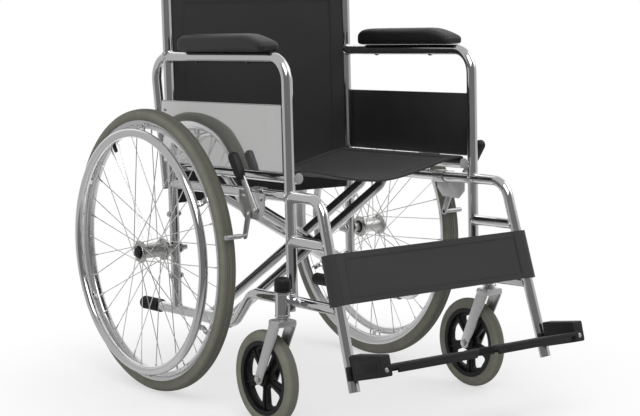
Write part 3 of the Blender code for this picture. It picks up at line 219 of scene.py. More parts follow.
def mirrored(half: Sequence[Pair]) -> list[Pair]:
    """A half profile with its mirror image, where points in the mirror's plane aren't doubled."""
    return [*half, *((radius, -x) for radius, x in reversed(half) if x)]


def rounded_path(corners: Sequence[Vector], radii: Sequence[float], steps: int = 14) -> list[Vector]:
    """Path through corner points, with each inner corner rounded to an arc.

    Args:
        corners: The ends and the corners of the path.
        radii: The bend radius at each inner corner.
        steps: Straight pieces in each arc.

    Returns:
        The points of the path.
    """
    points = [corners[0]]
    for before, corner, after, radius in zip(corners, corners[1:], corners[2:], radii):
        back, ahead = (before - corner).normalized(), (after - corner).normalized()
        half_turn = (math.pi - back.angle(ahead)) / 2
        centre = corner + (back + ahead).normalized() * radius / math.cos(half_turn)
        start = corner + back * radius * math.tan(half_turn) - centre
        axis = back.cross(ahead).normalized()
        points += [centre + Matrix.Rotation(-2 * half_turn * i / steps, 3, axis) @ start
                   for i in range(steps + 1)]
    return points + [corners[-1]]


def rounded_outline(corners: Sequence[Pair], radius: float, steps: int = 5) -> list[Pair]:
    """A closed flat outline whose corners are all rounded.

    Args:
        corners: The corners, in order.
        radius: The radius of each.
        steps: Straight pieces in each rounding.

    Returns:
        The points of the outline.
    """
    flat = [Vector((x, y, 0)) for x, y in corners]
    looped = [(flat[0] + flat[-1]) / 2, *flat, (flat[0] + flat[-1]) / 2]
    return [(p.x, p.y) for p in rounded_path(looped, [radius] * len(flat), steps)[:-1]]


def running_frames(path: Sequence[Vector], looped: bool = False) -> list[Matrix]:
    """Untwisted frames along a path, with +Z along it.

    Args:
        path: Points of the path.
        looped: Whether the last point leads back to the first.

    Returns:
        One matrix for each point.
    """
    count = len(path)
    frames: list[Matrix] = []
    for i, point in enumerate(path):
        before = path[i - 1] if i or looped else point
        after = path[(i + 1) % count] if i < count - 1 or looped else point
        along = ((after - point).normalized() + (point - before).normalized()).normalized()
        if frames:
            previous = frames[-1].to_3x3()
            frame = (previous.col[2].rotation_difference(along).to_matrix() @ previous).to_4x4()
            frame.translation = point
        else:
            frame = pointing(point, along)
        frames.append(frame)
    return frames


def rim_edge(one: Vector, two: Vector) -> bool:
    """Whether an edge lies between an end face, square to Z, and a side face."""
    return (abs(one.z) > 0.9) != (abs(two.z) > 0.9)


# Shapes and pieces


class Shape:
    """A solid in the making, shaped by mesh operators."""

    def __init__(self) -> None:
        """Starts with an empty mesh."""
        self.mesh = bmesh.new()

    @classmethod
    def swept(cls, path: Sequence[Vector], radius: Union[float, Sequence[float]], sides: int = 32,
              looped: bool = False) -> "Shape":
        """A round bar along a path.

        Args:
            path: Points of the path.
            radius: The bar's radius, or one for each point.
            sides: Corners of its round section.
            looped: Whether it closes on itself.

        Returns:
            The bar.
        """
        shape = cls()
        radii = [radius] * len(path) if isinstance(radius, float) else radius
        rings = [frame @ Matrix.Scale(size, 4) for frame, size in zip(running_frames(path, looped), radii)]
        bmesh.ops.create_circle(shape.mesh, cap_ends=False, segments=sides, radius=1.0, matrix=rings[0])
        first = last = list(shape.mesh.edges)
        for before, after in zip(rings, rings[1:]):
            grown = bmesh.ops.extrude_edge_only(shape.mesh, edges=last)["geom"]
            last = [item for item in grown if isinstance(item, bmesh.types.BMEdge) and item.is_boundary]
            bmesh.ops.transform(shape.mesh, matrix=after @ before.inverted(),
                                verts=[item for item in grown if isinstance(item, bmesh.types.BMVert)])
        if looped:
            bmesh.ops.bridge_loops(shape.mesh, edges=first + last)
        else:
            for rim in (first, last):
                bmesh.ops.contextual_create(shape.mesh, geom=rim)
        return shape.outward()

    @classmethod
    def turned(cls, profile: Sequence[Pair], steps: int = 48, closed: bool = False) -> "Shape":
        """A solid turned about +Z.

        Args:
            profile: Its (radius, height) points, in order.
            steps: Facets round the turn.
            closed: Whether the profile runs back to its first point, as a ring's does.

        Returns:
            The turned solid.
        """
        shape = cls()
        corners = [shape.mesh.verts.new((radius, 0.0, height)) for radius, height in profile]
        pairs = list(zip(corners, corners[1:])) + ([(corners[-1], corners[0])] if closed else [])
        edges = [shape.mesh.edges.new(pair) for pair in pairs]
        bmesh.ops.spin(shape.mesh, geom=corners + edges, cent=(0, 0, 0), axis=(0, 0, 1), dvec=(0, 0, 0),
                       angle=2 * math.pi, steps=steps, use_merge=True, use_duplicate=False)
        bmesh.ops.remove_doubles(shape.mesh, verts=shape.mesh.verts, dist=1e-6)
        return shape.outward()

    @classmethod
    def plate(cls, outline: Sequence[Pair], thickness: float, edge: float,
              holes: Sequence[Sequence[Pair]] = (), segments: int = 2) -> "Shape":
        """A flat plate in the XY plane, its thickness centred on it.

        Args:
            outline: Its outer outline.
            thickness: Its thickness.
            edge: How much its upper and lower edges are rounded.
            holes: Outlines of openings through it.
            segments: Facets of each rounded edge.

        Returns:
            The plate.
        """
        shape = cls()
        mesh = shape.mesh
        for loop in (outline, *holes):
            corners = [mesh.verts.new((x, y, -thickness / 2)) for x, y in loop]
            for pair in zip(corners, corners[1:] + corners[:1]):
                mesh.edges.new(pair)
        if holes:
            bmesh.ops.triangle_fill(mesh, use_beauty=True, use_dissolve=False, edges=mesh.edges)
        else:
            bmesh.ops.contextual_create(mesh, geom=list(mesh.edges))
        grown = bmesh.ops.extrude_face_region(mesh, geom=list(mesh.faces))["geom"]
        bmesh.ops.translate(mesh, vec=(0, 0, thickness),
                            verts=[item for item in grown if isinstance(item, bmesh.types.BMVert)])
        return shape.outward().round_edges(edge, segments, rim_edge)

    @classmethod
    def block(cls, low: Sequence[float], high: Sequence[float], edge: float, segments: int = 3) -> "Shape":
        """A block with all its edges rounded.

        Args:
            low: Its lowest corner.
            high: Its highest corner.
            edge: How much its edges are rounded.
            segments: Facets of each rounded edge.

        Returns:
            The block.
        """
        shape = cls()
        lowest, highest = Vector(low), Vector(high)
        bmesh.ops.create_cube(shape.mesh, size=1.0)
        bmesh.ops.scale(shape.mesh, verts=shape.mesh.verts, vec=highest - lowest)
        bmesh.ops.translate(shape.mesh, verts=shape.mesh.verts, vec=(highest + lowest) / 2)
        return shape.round_edges(edge, segments)

    @classmethod
    def rod(cls, radius: float, length: float, sides: int = 20, edge: float = 0.0) -> "Shape":
        """A bar that stands on the origin along +Z.

        Args:
            radius: Its radius.
            length: Its length.
            sides: Corners of its section.
            edge: How much its ends are rounded.

        Returns:
            The bar.
        """
        shape = cls()
        bmesh.ops.create_cone(shape.mesh, cap_ends=True, segments=sides, radius1=radius, radius2=radius,
                              depth=length, matrix=shift(0, 0, length / 2))
        return shape.round_edges(edge, 2, rim_edge) if edge else shape

    @classmethod
    def sheet(cls, surface: Surface, cells: tuple[int, int], thickness: float, outward: Vector,
              across: Pair = (0.0, 1.0), along: Pair = (0.0, 1.0), lift: float = 0.0) -> "Shape":
        """A sheet laid on a surface, or on a part of it.

        Args:
            surface: The place for two shares, from 0 to 1 across and along, and a lift.
            cells: How many cells it has each way.
            thickness: Its thickness, which goes inwards from the surface.
            outward: Direction out of the surface.
            across: Shares across between which it lies.
            along: Shares along between which it lies.
            lift: How far it stands off the surface.

        Returns:
            The sheet, closed round its edges.
        """
        shape = cls()
        bmesh.ops.create_grid(shape.mesh, x_segments=cells[0], y_segments=cells[1], size=0.5)
        for corner in shape.mesh.verts:
            corner.co = surface(across[0] + (across[1] - across[0]) * (corner.co.x + 0.5),
                                along[0] + (along[1] - along[0]) * (corner.co.y + 0.5), lift)
        shape.mesh.normal_update()
        facing = sum((face.normal for face in shape.mesh.faces), Vector()).dot(outward)
        bmesh.ops.solidify(shape.mesh, geom=list(shape.mesh.faces),
                           thickness=math.copysign(thickness, facing))
        return shape.outward()

    def outward(self) -> "Shape":
        """Turns every face outwards."""
        bmesh.ops.recalc_face_normals(self.mesh, faces=self.mesh.faces)
        return self

    def joined(self, other: "Shape") -> "Shape":
        """Takes in another shape.

        Args:
            other: The other shape, which is used up.

        Returns:
            The shape itself.
        """
        data = bpy.data.meshes.new("joined")
        other.mesh.to_mesh(data)
        other.mesh.free()
        self.mesh.from_mesh(data)
        bpy.data.meshes.remove(data)
        return self

    def sliced(self, normal: Vector, distances: Iterable[float]) -> None:
        """Cuts new edge loops square to the normal, at the distances along it.

        Args:
            normal: Direction that the cuts are square to.
            distances: How far along it each of them lies.
        """
        for distance in distances:
            bmesh.ops.bisect_plane(self.mesh, geom=[*self.mesh.verts, *self.mesh.edges, *self.mesh.faces],
                                   plane_co=normal * distance, plane_no=normal)

    def round_edges(self, size: float, segments: int,
                    chosen: Union[Callable[[Vector, Vector], bool], None] = None) -> "Shape":
        """Rounds edges.

        Args:
            size: How much is taken off.
            segments: Facets of each rounded edge.
            chosen: Picks an edge by its two faces' normals; without it every edge is rounded.

        Returns:
            The shape itself.
        """
        self.mesh.normal_update()
        edges = [edge for edge in self.mesh.edges if len(edge.link_faces) == 2
                 and (chosen is None or chosen(*(face.normal for face in edge.link_faces)))]
        bmesh.ops.bevel(self.mesh, geom=edges, offset=size, offset_type="OFFSET", segments=segments,
                        profile=0.5, affect="EDGES", clamp_overlap=True, material=-1)
        return self

    def placed(self, matrix: Matrix) -> "Shape":
        """Moves the shape by a matrix."""
        bmesh.ops.transform(self.mesh, matrix=matrix, verts=self.mesh.verts)
        return self


class Piece:
    """One visible piece: shapes gathered into one mesh, each with its own finish."""

    def __init__(self, name: str) -> None:
        """Starts an empty piece of that name.

        Args:
            name: The name that its object gets.
        """
        self.name = name
        self.mesh = bmesh.new()
        self.finishes: list["Finish"] = []

    def add(self, shape: Shape, finish: "Finish", *places: Matrix) -> None:
        """Adds a copy of the shape at each of the places.

        Args:
            shape: The shape, which is used up.
            finish: Its finish.
            places: Where its copies go; without any it stays where it is.
        """
        if finish not in self.finishes:
            self.finishes.append(finish)
        index = self.finishes.index(finish)
        for face in shape.mesh.faces:
            face.material_index = index
        copied = bpy.data.meshes.new("copied")
        shape.mesh.to_mesh(copied)
        shape.mesh.free()
        for place in places or (Matrix(),):
            corners, sides = len(self.mesh.verts), len(self.mesh.faces)
            self.mesh.from_mesh(copied)
            self.mesh.verts.ensure_lookup_table()
            self.mesh.faces.ensure_lookup_table()
            bmesh.ops.transform(self.mesh, matrix=place, verts=self.mesh.verts[corners:])
            if place.determinant() < 0:
                bmesh.ops.reverse_faces(self.mesh, faces=self.mesh.faces[sides:])
        bpy.data.meshes.remove(copied)

    def finished(self, crease: float, nodes: Sequence[str]) -> bpy.types.Object:
        """Makes the object, dresses it and lets it stand for the model's nodes.

        Args:
            crease: Angle in degrees from which an edge shows as sharp.
            nodes: The nodes that it replaces.

        Returns:
            The object.
        """
        data = bpy.data.meshes.new(self.name)
        self.mesh.to_mesh(data)
        self.mesh.free()
        for finish in self.finishes:
            data.materials.append(finish.material())
        data.shade_smooth()
        data.set_sharp_from_angle(angle=math.radians(crease))
        thing = bpy.data.objects.new(self.name, data)
        bpy.context.scene.collection.objects.link(thing)
        if nodes:
            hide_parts(*nodes)
        LOG.info("%s stands for %s, %d faces", self.name, ", ".join(nodes) or "no node", len(data.polygons))
        return thing

    def mount(self, body: str, *nodes: str, crease: float = 35.0) -> bpy.types.Object:
        """Makes the object and lets it ride on a body."""
        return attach(self.finished(crease, nodes), body)

    def mount_between(self, node: str) -> bpy.types.Object:
        """Makes the object, with its placement baked into its mesh."""
        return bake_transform(self.finished(50.0, [node]))

    def mount_narrowing(self, body: str, anchor: Vector, keep: float,
                        node: str) -> bpy.types.Object:
        """Makes the object, with a mesh of its own, and lets it ride on a body."""
        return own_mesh(self.mount(body, node, crease=50.0))


# Finishes


class Value:
    """A node's output in an expression, whose Math nodes are added as it is worked out."""

    def __init__(self, graph: "Graph", socket: bpy.types.NodeSocket) -> None:
        """Wraps an output of one of the graph's nodes."""
        self.graph = graph
        self.socket = socket

    def __add__(self, other: "Operand") -> "Value":
        """The sum."""
        return self.graph.math("ADD", self, other)

    def __sub__(self, other: "Operand") -> "Value":
        """The difference."""
        return self.graph.math("SUBTRACT", self, other)

    def __rsub__(self, other: float) -> "Value":
        """The difference, from a number."""
        return self.graph.math("SUBTRACT", other, self)

    def __mul__(self, other: "Operand") -> "Value":
        """The product."""
        return self.graph.math("MULTIPLY", self, other)

    def __truediv__(self, other: "Operand") -> "Value":
        """The quotient."""
        return self.graph.math("DIVIDE", self, other)

    __radd__ = __add__
    __rmul__ = __mul__


Operand = Union[Value, float]


class Graph:
    """The nodes of one material or world."""

    def __init__(self, tree: bpy.types.NodeTree) -> None:
        """Starts with an empty tree."""
        self.tree = tree
        tree.nodes.clear()

    def node(self, kind: str, inputs: Inputs, **settings: object) -> bpy.types.Node:
        """Adds a node.

        Args:
            kind: The node's type, without the word that all of them start with.
            inputs: Values or links for its sockets, by name or number.
            settings: Its own settings, which are set first.

        Returns:
            The node.
        """
        node = self.tree.nodes.new("ShaderNode" + kind)
        for key, setting in settings.items():
            setattr(node, key, setting)
        for key, value in inputs.items():
            socket = node.inputs[key]
            if isinstance(value, Value):
                self.tree.links.new(value.socket, socket)
            elif isinstance(value, tuple) and len(value) == 3 and socket.type == "RGBA":
                socket.default_value = (*value, 1.0)
            else:
                socket.default_value = value
        return node

    def value(self, kind: str, inputs: Inputs, output: Union[str, int] = 0, **settings: object) -> Value:
        """Adds a node and returns one of its outputs."""
        return Value(self, self.node(kind, inputs, **settings).outputs[output])

    def values(self, kind: str, outputs: Sequence[Union[str, int]], **inputs: Value) -> list[Value]:
        """Adds a node and returns several of its outputs."""
        node = self.node(kind, inputs)
        return [Value(self, node.outputs[output]) for output in outputs]

    def math(self, operation: str, *values: Operand) -> Value:
        """A Math node's result."""
        return self.value("Math", dict(enumerate(values)), operation=operation)

    def highest(self, first: Value, *others: Value) -> Value:
        """The highest of several values."""
        return self.math("MAXIMUM", first, self.highest(*others) if others[1:] else others[0])

    def mix(self, share: Operand, one: object, two: object) -> Value:
        """A mix of two colours."""
        return self.value("Mix", {0: share, 6: one, 7: two}, 2, data_type="RGBA")

    def step(self, value: Value, start: float, end: float, low: float = 0.0, high: float = 1.0) -> Value:
        """A smooth rise from low to high as the value goes from start to end."""
        inputs = {"Value": value, "From Min": start, "From Max": end, "To Min": low, "To Max": high}
        return self.value("MapRange", inputs, interpolation_type="SMOOTHSTEP")

    def place(self, scale: Triple = (1, 1, 1), moved: Triple = (0, 0, 0)) -> Value:
        """The object's own coordinates, scaled and moved."""
        inputs = {"Vector": self.value("TexCoord", {}, "Object"), "Scale": scale, "Location": moved}
        return self.value("Mapping", inputs, vector_type="POINT")

    def noise(self, where: Value, scale: float, detail: float = 2.0, roughness: float = 0.5) -> Value:
        """A noise pattern from 0 to 1."""
        return self.value("TexNoise", {"Vector": where, "Scale": scale, "Detail": detail,
                                       "Roughness": roughness})

    def rays(self) -> list[Value]:
        """Whether light comes from the camera, from a glossy surface or through a clear one."""
        return self.values("LightPath", ("Is Camera Ray", "Is Glossy Ray", "Is Transmission Ray"))

    def bump(self, height: Value, depth: float, strength: float = 1.0) -> Value:
        """A normal that follows a height pattern of the depth given."""
        return self.value("Bump", {"Height": height, "Distance": depth, "Strength": strength})

    def surface(self, **inputs: object) -> None:
        """Finishes the material with one surface shader, its sockets named with underscores."""
        named = {key.replace("_", " "): value for key, value in inputs.items()}
        self.node("OutputMaterial", {"Surface": self.value("BsdfPrincipled", named)})


@dataclass(frozen=True)
class Finish:
    """A surface finish, with the name of a material slot."""

    name: str
    slot: str
    colour: Triple
    roughness: float

    def material(self) -> bpy.types.Material:
        """The finish's material, made when it is first asked for.

        Returns:
            The material.
        """
        found = bpy.data.materials.get(self.name)
        if found is None:
            found = bpy.data.materials.new(self.name)
            found.use_nodes = True
            found.diffuse_color = (*self.colour, 1.0)
            self.dress(Graph(found.node_tree))
        return found

    def dress(self, graph: Graph) -> None:
        """Adds the finish's nodes; each kind of finish has its own."""
        raise NotImplementedError

    def shade(self, factor: float) -> Triple:
        """The finish's colour, darker or lighter by the factor."""
        return tuple(min(1.0, channel * factor) for channel in self.colour)


@dataclass(frozen=True)
class PlatedMetal(Finish):
    """Plated or polished metal, with handling marks and a fine grain along one direction."""

    marks: float = 0.08
    grain: float = 0.000004
    stretch: Triple = (1.0, 1.0, 1.0)
    metal: float = 1.0

    def dress(self, graph: Graph) -> None:
        """Cloudy marks change the gloss, and the grain the normal.

        Args:
            graph: The material's nodes.
        """
        where = graph.place()
        cloud = graph.noise(where, 14.0, 4.0, 0.6)
        specks = graph.step(graph.noise(where, 260.0), 0.62, 0.75)
        grain = graph.noise(graph.place(self.stretch), 420.0)
        graph.surface(Base_Color=graph.mix(cloud, self.shade(0.93), self.shade(1.04)),
                      Metallic=self.metal,
                      Roughness=cloud * self.marks + specks * 0.06 + self.roughness,
                      Normal=graph.bump(grain, self.grain))


@dataclass(frozen=True)
class MouldedPolymer(Finish):
    """Moulded plastic or rubber with a fine spark-eroded grain and a little dust."""

    grain_scale: float = 900.0
    grain: float = 0.00004
    dust: float = 0.25
    gloss: float = 0.5

    def dress(self, graph: Graph) -> None:
        """The grain is in the normal and the gloss, the dust in the colour.

        Args:
            graph: The material's nodes.
        """
        where = graph.place()
        grain = graph.noise(where, self.grain_scale)
        cloud = graph.step(graph.noise(where, 22.0, 5.0, 0.65), 0.35, 0.8)
        graph.surface(Base_Color=graph.mix(cloud * self.dust, self.colour, self.shade(2.2)),
                      Roughness=grain * 0.14 + cloud * 0.08 + (self.roughness - 0.07),
                      Specular_IOR_Level=self.gloss,
                      Normal=graph.bump(grain, self.grain))


@dataclass(frozen=True)
class TyreRubber(Finish):
    """Grey tyre rubber: fine moulded rings, a tread painted darker as painted shade, and a dusty sidewall."""

    centre: Pair = (0.0, 0.0)
    tread: Pair = (0.297, 0.3035)
    ring_pitch: float = 0.0021

    def dress(self, graph: Graph) -> None:
        """Everything follows the distance from the wheel's axle.

        Args:
            graph: The material's nodes.
        """
        where = graph.place(moved=(0.0, -self.centre[0], -self.centre[1]))
        across, up = graph.values("SeparateXYZ", (1, 2), Vector=where)
        radius = graph.math("SQRT", across * across + up * up)
        tread = graph.step(radius, *self.tread)
        rings = graph.math("SINE", radius * (2 * math.pi / self.ring_pitch)) * (1.0 - tread)
        dust = graph.noise(where, 30.0, 5.0, 0.65)
        pores = graph.noise(where, 700.0)
        side = graph.mix(graph.step(dust, 0.3, 0.75), self.shade(0.88), self.shade(1.1))
        # Painted shade: the tread band is mixed towards a darker copy of the rubber's colour.
        graph.surface(Base_Color=graph.mix(tread * 0.75, side, self.shade(0.58)),
                      Roughness=pores * 0.16 + (self.roughness - 0.06),
                      Specular_IOR_Level=0.35,
                      Normal=graph.bump(rings * 0.5 + pores * 0.5, 0.00012))


@dataclass(frozen=True)
class WovenCloth(Finish):
    """Coated black nylon: a plain weave in the cloth's own plane, with soft creases and lint."""

    plane: tuple[int, int] = (0, 1)
    pitch: float = 0.0011

    def dress(self, graph: Graph) -> None:
        """The threads go over and under one another at the weave's pitch.

        Args:
            graph: The material's nodes.
        """
        where = graph.place()
        first, second = graph.values("SeparateXYZ", self.plane, Vector=where)
        turn = math.pi / self.pitch
        threads = graph.math("SINE", first * turn) * graph.math("SINE", second * turn) * 0.5 + 0.5
        cloud = graph.noise(where, 9.0, 4.0, 0.55)
        lint = graph.step(graph.noise(where, 520.0), 0.70, 0.80)
        cloth = graph.mix(threads * 0.6 + cloud * 0.4, self.shade(0.80), self.shade(1.22))
        graph.surface(Base_Color=graph.mix(lint * 0.35, cloth, self.shade(2.6)),
                      Roughness=cloud * 0.12 + (self.roughness - 0.06),
                      Sheen_Weight=0.12, Sheen_Roughness=0.5,
                      Specular_IOR_Level=0.25,
                      Normal=graph.bump(threads + cloud * 2.0, 0.00016, 0.8))


@dataclass(frozen=True)
class GrainedVinyl(Finish):
    """Padded vinyl with a leather grain."""

    def dress(self, graph: Graph) -> None:
        """Small cells give the grain, and a soft cloud the handling marks.

        Args:
            graph: The material's nodes.
        """
        where = graph.place()
        cells = graph.value("TexVoronoi", {"Vector": where, "Scale": 620.0}, "Distance",
                            feature="DISTANCE_TO_EDGE")
        grain = graph.step(cells, 0.0, 0.22)
        cloud = graph.noise(where, 26.0, 4.0)
        graph.surface(Base_Color=graph.mix(grain * 0.6 + cloud * 0.4, self.shade(0.7), self.shade(1.25)),
                      Roughness=cloud * 0.14 - grain * 0.06 + self.roughness,
                      Specular_IOR_Level=0.5,
                      Normal=graph.bump(grain + cloud, 0.00007))


CHROME = PlatedMetal("chrome_plate", "chrome", (0.80, 0.80, 0.81), 0.055)
PANEL_SHEET = PlatedMetal("panel_sheet", "polished_sheet", (0.80, 0.80, 0.795), 0.05, 0.04, 0.000002,
                          (1.0, 0.06, 1.0), 0.92)
RIM_STEEL = PlatedMetal("rim_steel", "chrome", (0.72, 0.72, 0.72), 0.14, 0.12)
ZINC = PlatedMetal("zinc_steel", "bright_steel", (0.66, 0.66, 0.65), 0.24, 0.14, 0.000012)
SPOKE_STEEL = PlatedMetal("spoke_steel", "bright_steel", (0.78, 0.78, 0.77), 0.18, 0.10)
STAMPED_STEEL = PlatedMetal("stamped_steel", "bright_steel", (0.70, 0.70, 0.70), 0.30, 0.12, 0.000014)
DARK_STEEL = PlatedMetal("dark_steel", "bright_steel", (0.16, 0.16, 0.165), 0.32, 0.12)
WELD_METAL = PlatedMetal("weld_metal", "chrome", (0.62, 0.62, 0.62), 0.22, 0.15, 0.00004)
SEAT_CLOTH = WovenCloth("seat_cloth", "black_cloth", (0.026, 0.026, 0.026), 0.78, (0, 1))
BACK_CLOTH = WovenCloth("back_cloth", "black_cloth", (0.023, 0.023, 0.023), 0.78, (0, 2))
WEBBING = WovenCloth("webbing", "black_cloth", (0.030, 0.030, 0.030), 0.7, (0, 2), 0.0016)
THREAD = MouldedPolymer("thread", "black_cloth", (0.030, 0.030, 0.030), 0.7, 1200.0)
VINYL = GrainedVinyl("pad_vinyl", "black_plastic", (0.010, 0.010, 0.010), 0.38)
BLACK_PLASTIC = MouldedPolymer("moulded_plastic", "black_plastic", (0.009, 0.009, 0.009), 0.42, 900.0,
                               0.00004, 0.12, 0.34)
PLATE_PLASTIC = MouldedPolymer("footplate_plastic", "black_plastic", (0.012, 0.012, 0.012), 0.50, 700.0,
                               0.00006, 0.16, 0.34)
PANEL_BACK = MouldedPolymer("panel_backing", "black_plastic", (0.020, 0.020, 0.020), 0.45, 500.0)
GRIP_RUBBER = MouldedPolymer("grip_rubber", "black_rubber", (0.009, 0.009, 0.009), 0.62, 800.0,
                             0.00005, 0.14, 0.34)
CASTER_BLACK = MouldedPolymer("caster_black", "black_wheel", (0.006, 0.006, 0.006), 0.42, 900.0,
                              0.00003, 0.12, 0.30)
GREY_PLUG = MouldedPolymer("grey_plug", "bright_steel", (0.25, 0.25, 0.245), 0.45)
TYRE_COLOUR: Triple = (0.174, 0.174, 0.143)


# Parts that are used in several places


def bolt_head(radius: float, height: float) -> Shape:
    """A hexagon head on a washer, standing on the origin along +Z.

    Args:
        radius: Radius over the head's corners.
        height: Height of the head.

    Returns:
        Head and washer in one shape.
    """
    washer = [(0, 0), (1.25, 0), (1.25, 0.16), (1.16, 0.24), (0, 0.24)]
    head = Shape.rod(radius, height, 6, radius * 0.10).placed(shift(0, 0, radius * 0.22))
    return head.joined(Shape.turned([(radius * r, radius * h) for r, h in washer], 24))


def round_head(radius: float, height: float) -> Shape:
    """A domed screw or rivet head, standing on the origin along +Z."""
    dome = [(radius * r, height * h) for r, h in arc((0, 0), 1.0, 0, math.pi / 2, 5)[:-1]]
    return Shape.turned([(0, -height * 0.3), (radius, -height * 0.3), *dome, (0, height)], 20)


def weld_bead(crossing: Vector, leaving: Vector, through: Vector, tube: float) -> Shape:
    """The bead where a tube ends square on another of its size.

    Args:
        crossing: Where the two centre lines meet.
        leaving: Direction in which the welded tube leaves.
        through: Direction of the tube that runs through.
        tube: Radius of both tubes.

    Returns:
        The bead, a little uneven as a hand-made weld is.
    """
    beside = leaving.cross(through).normalized()
    path, radii = [], []
    for angle in (2 * math.pi * i / 48 for i in range(48)):
        aside = tube * math.sin(angle)
        rise = math.sqrt(max(0.0, (1.04 * tube) ** 2 - aside ** 2))
        path.append(crossing + through * (tube * math.cos(angle)) + beside * aside + leaving * rise)
        radii.append(0.0016 + 0.0003 * math.sin(7.5 * angle) ** 2 + 0.00015 * math.sin(3 * angle + 1.0))
    return Shape.swept(path, radii, 8, looped=True)


def stitches(path: Sequence[Vector], outward: Vector, pitch: float = 0.0045) -> list[Matrix]:
    """Places of the stitches along a path.

    Args:
        path: Points that the seam follows.
        outward: Direction out of the cloth.
        pitch: Distance from one stitch to the next.

    Returns:
        One matrix for each stitch, with +Z along the seam.
    """
    places: list[Matrix] = []
    left = pitch / 2
    for start, end in zip(path, path[1:]):
        length, along = (end - start).length, (end - start).normalized()
        across = outward.cross(along).normalized()
        while left < length:
            places.append(axes_at(start + along * left, across, along.cross(across), along))
            left += pitch
        left -= length
    return places


# The side frames


@dataclass(frozen=True)
class SidePart:
    """A sub-assembly on one side of the chair."""

    layout: Layout
    side: Side

    @property
    def sign(self) -> int:
        """-1 on the user's right, +1 on the left."""
        return self.side.value

    @property
    def outboard(self) -> Vector:
        """Direction away from the chair's middle."""
        return X_AXIS * self.sign

    def name(self, piece: str) -> str:
        """A piece's name with its side."""
        return f"{self.side.label}_{piece}"

    def piece(self, name: str) -> Piece:
        """A new piece of this side."""
        return Piece(self.name(name))

    def mount(self, piece: Piece, body: str, *nodes: str, crease: float = 35.0) -> bpy.types.Object:
        """Lets a piece ride on a body of this side, in the place of nodes of this side."""
        return piece.mount(self.name(body), *map(self.name, nodes), crease=crease)

    def on_frame(self, u: float, w: float) -> Vector:
        """Point in the middle plane of this side's frame."""
        return self.layout.at(self.sign * self.layout.half_width, u, w)

    def beside(self, x: float, y: float, z: float) -> Vector:
        """Point at distance x outboard, y behind the rear axle and z above the floor."""
        return self.layout.behind(self.sign * x, y, z)


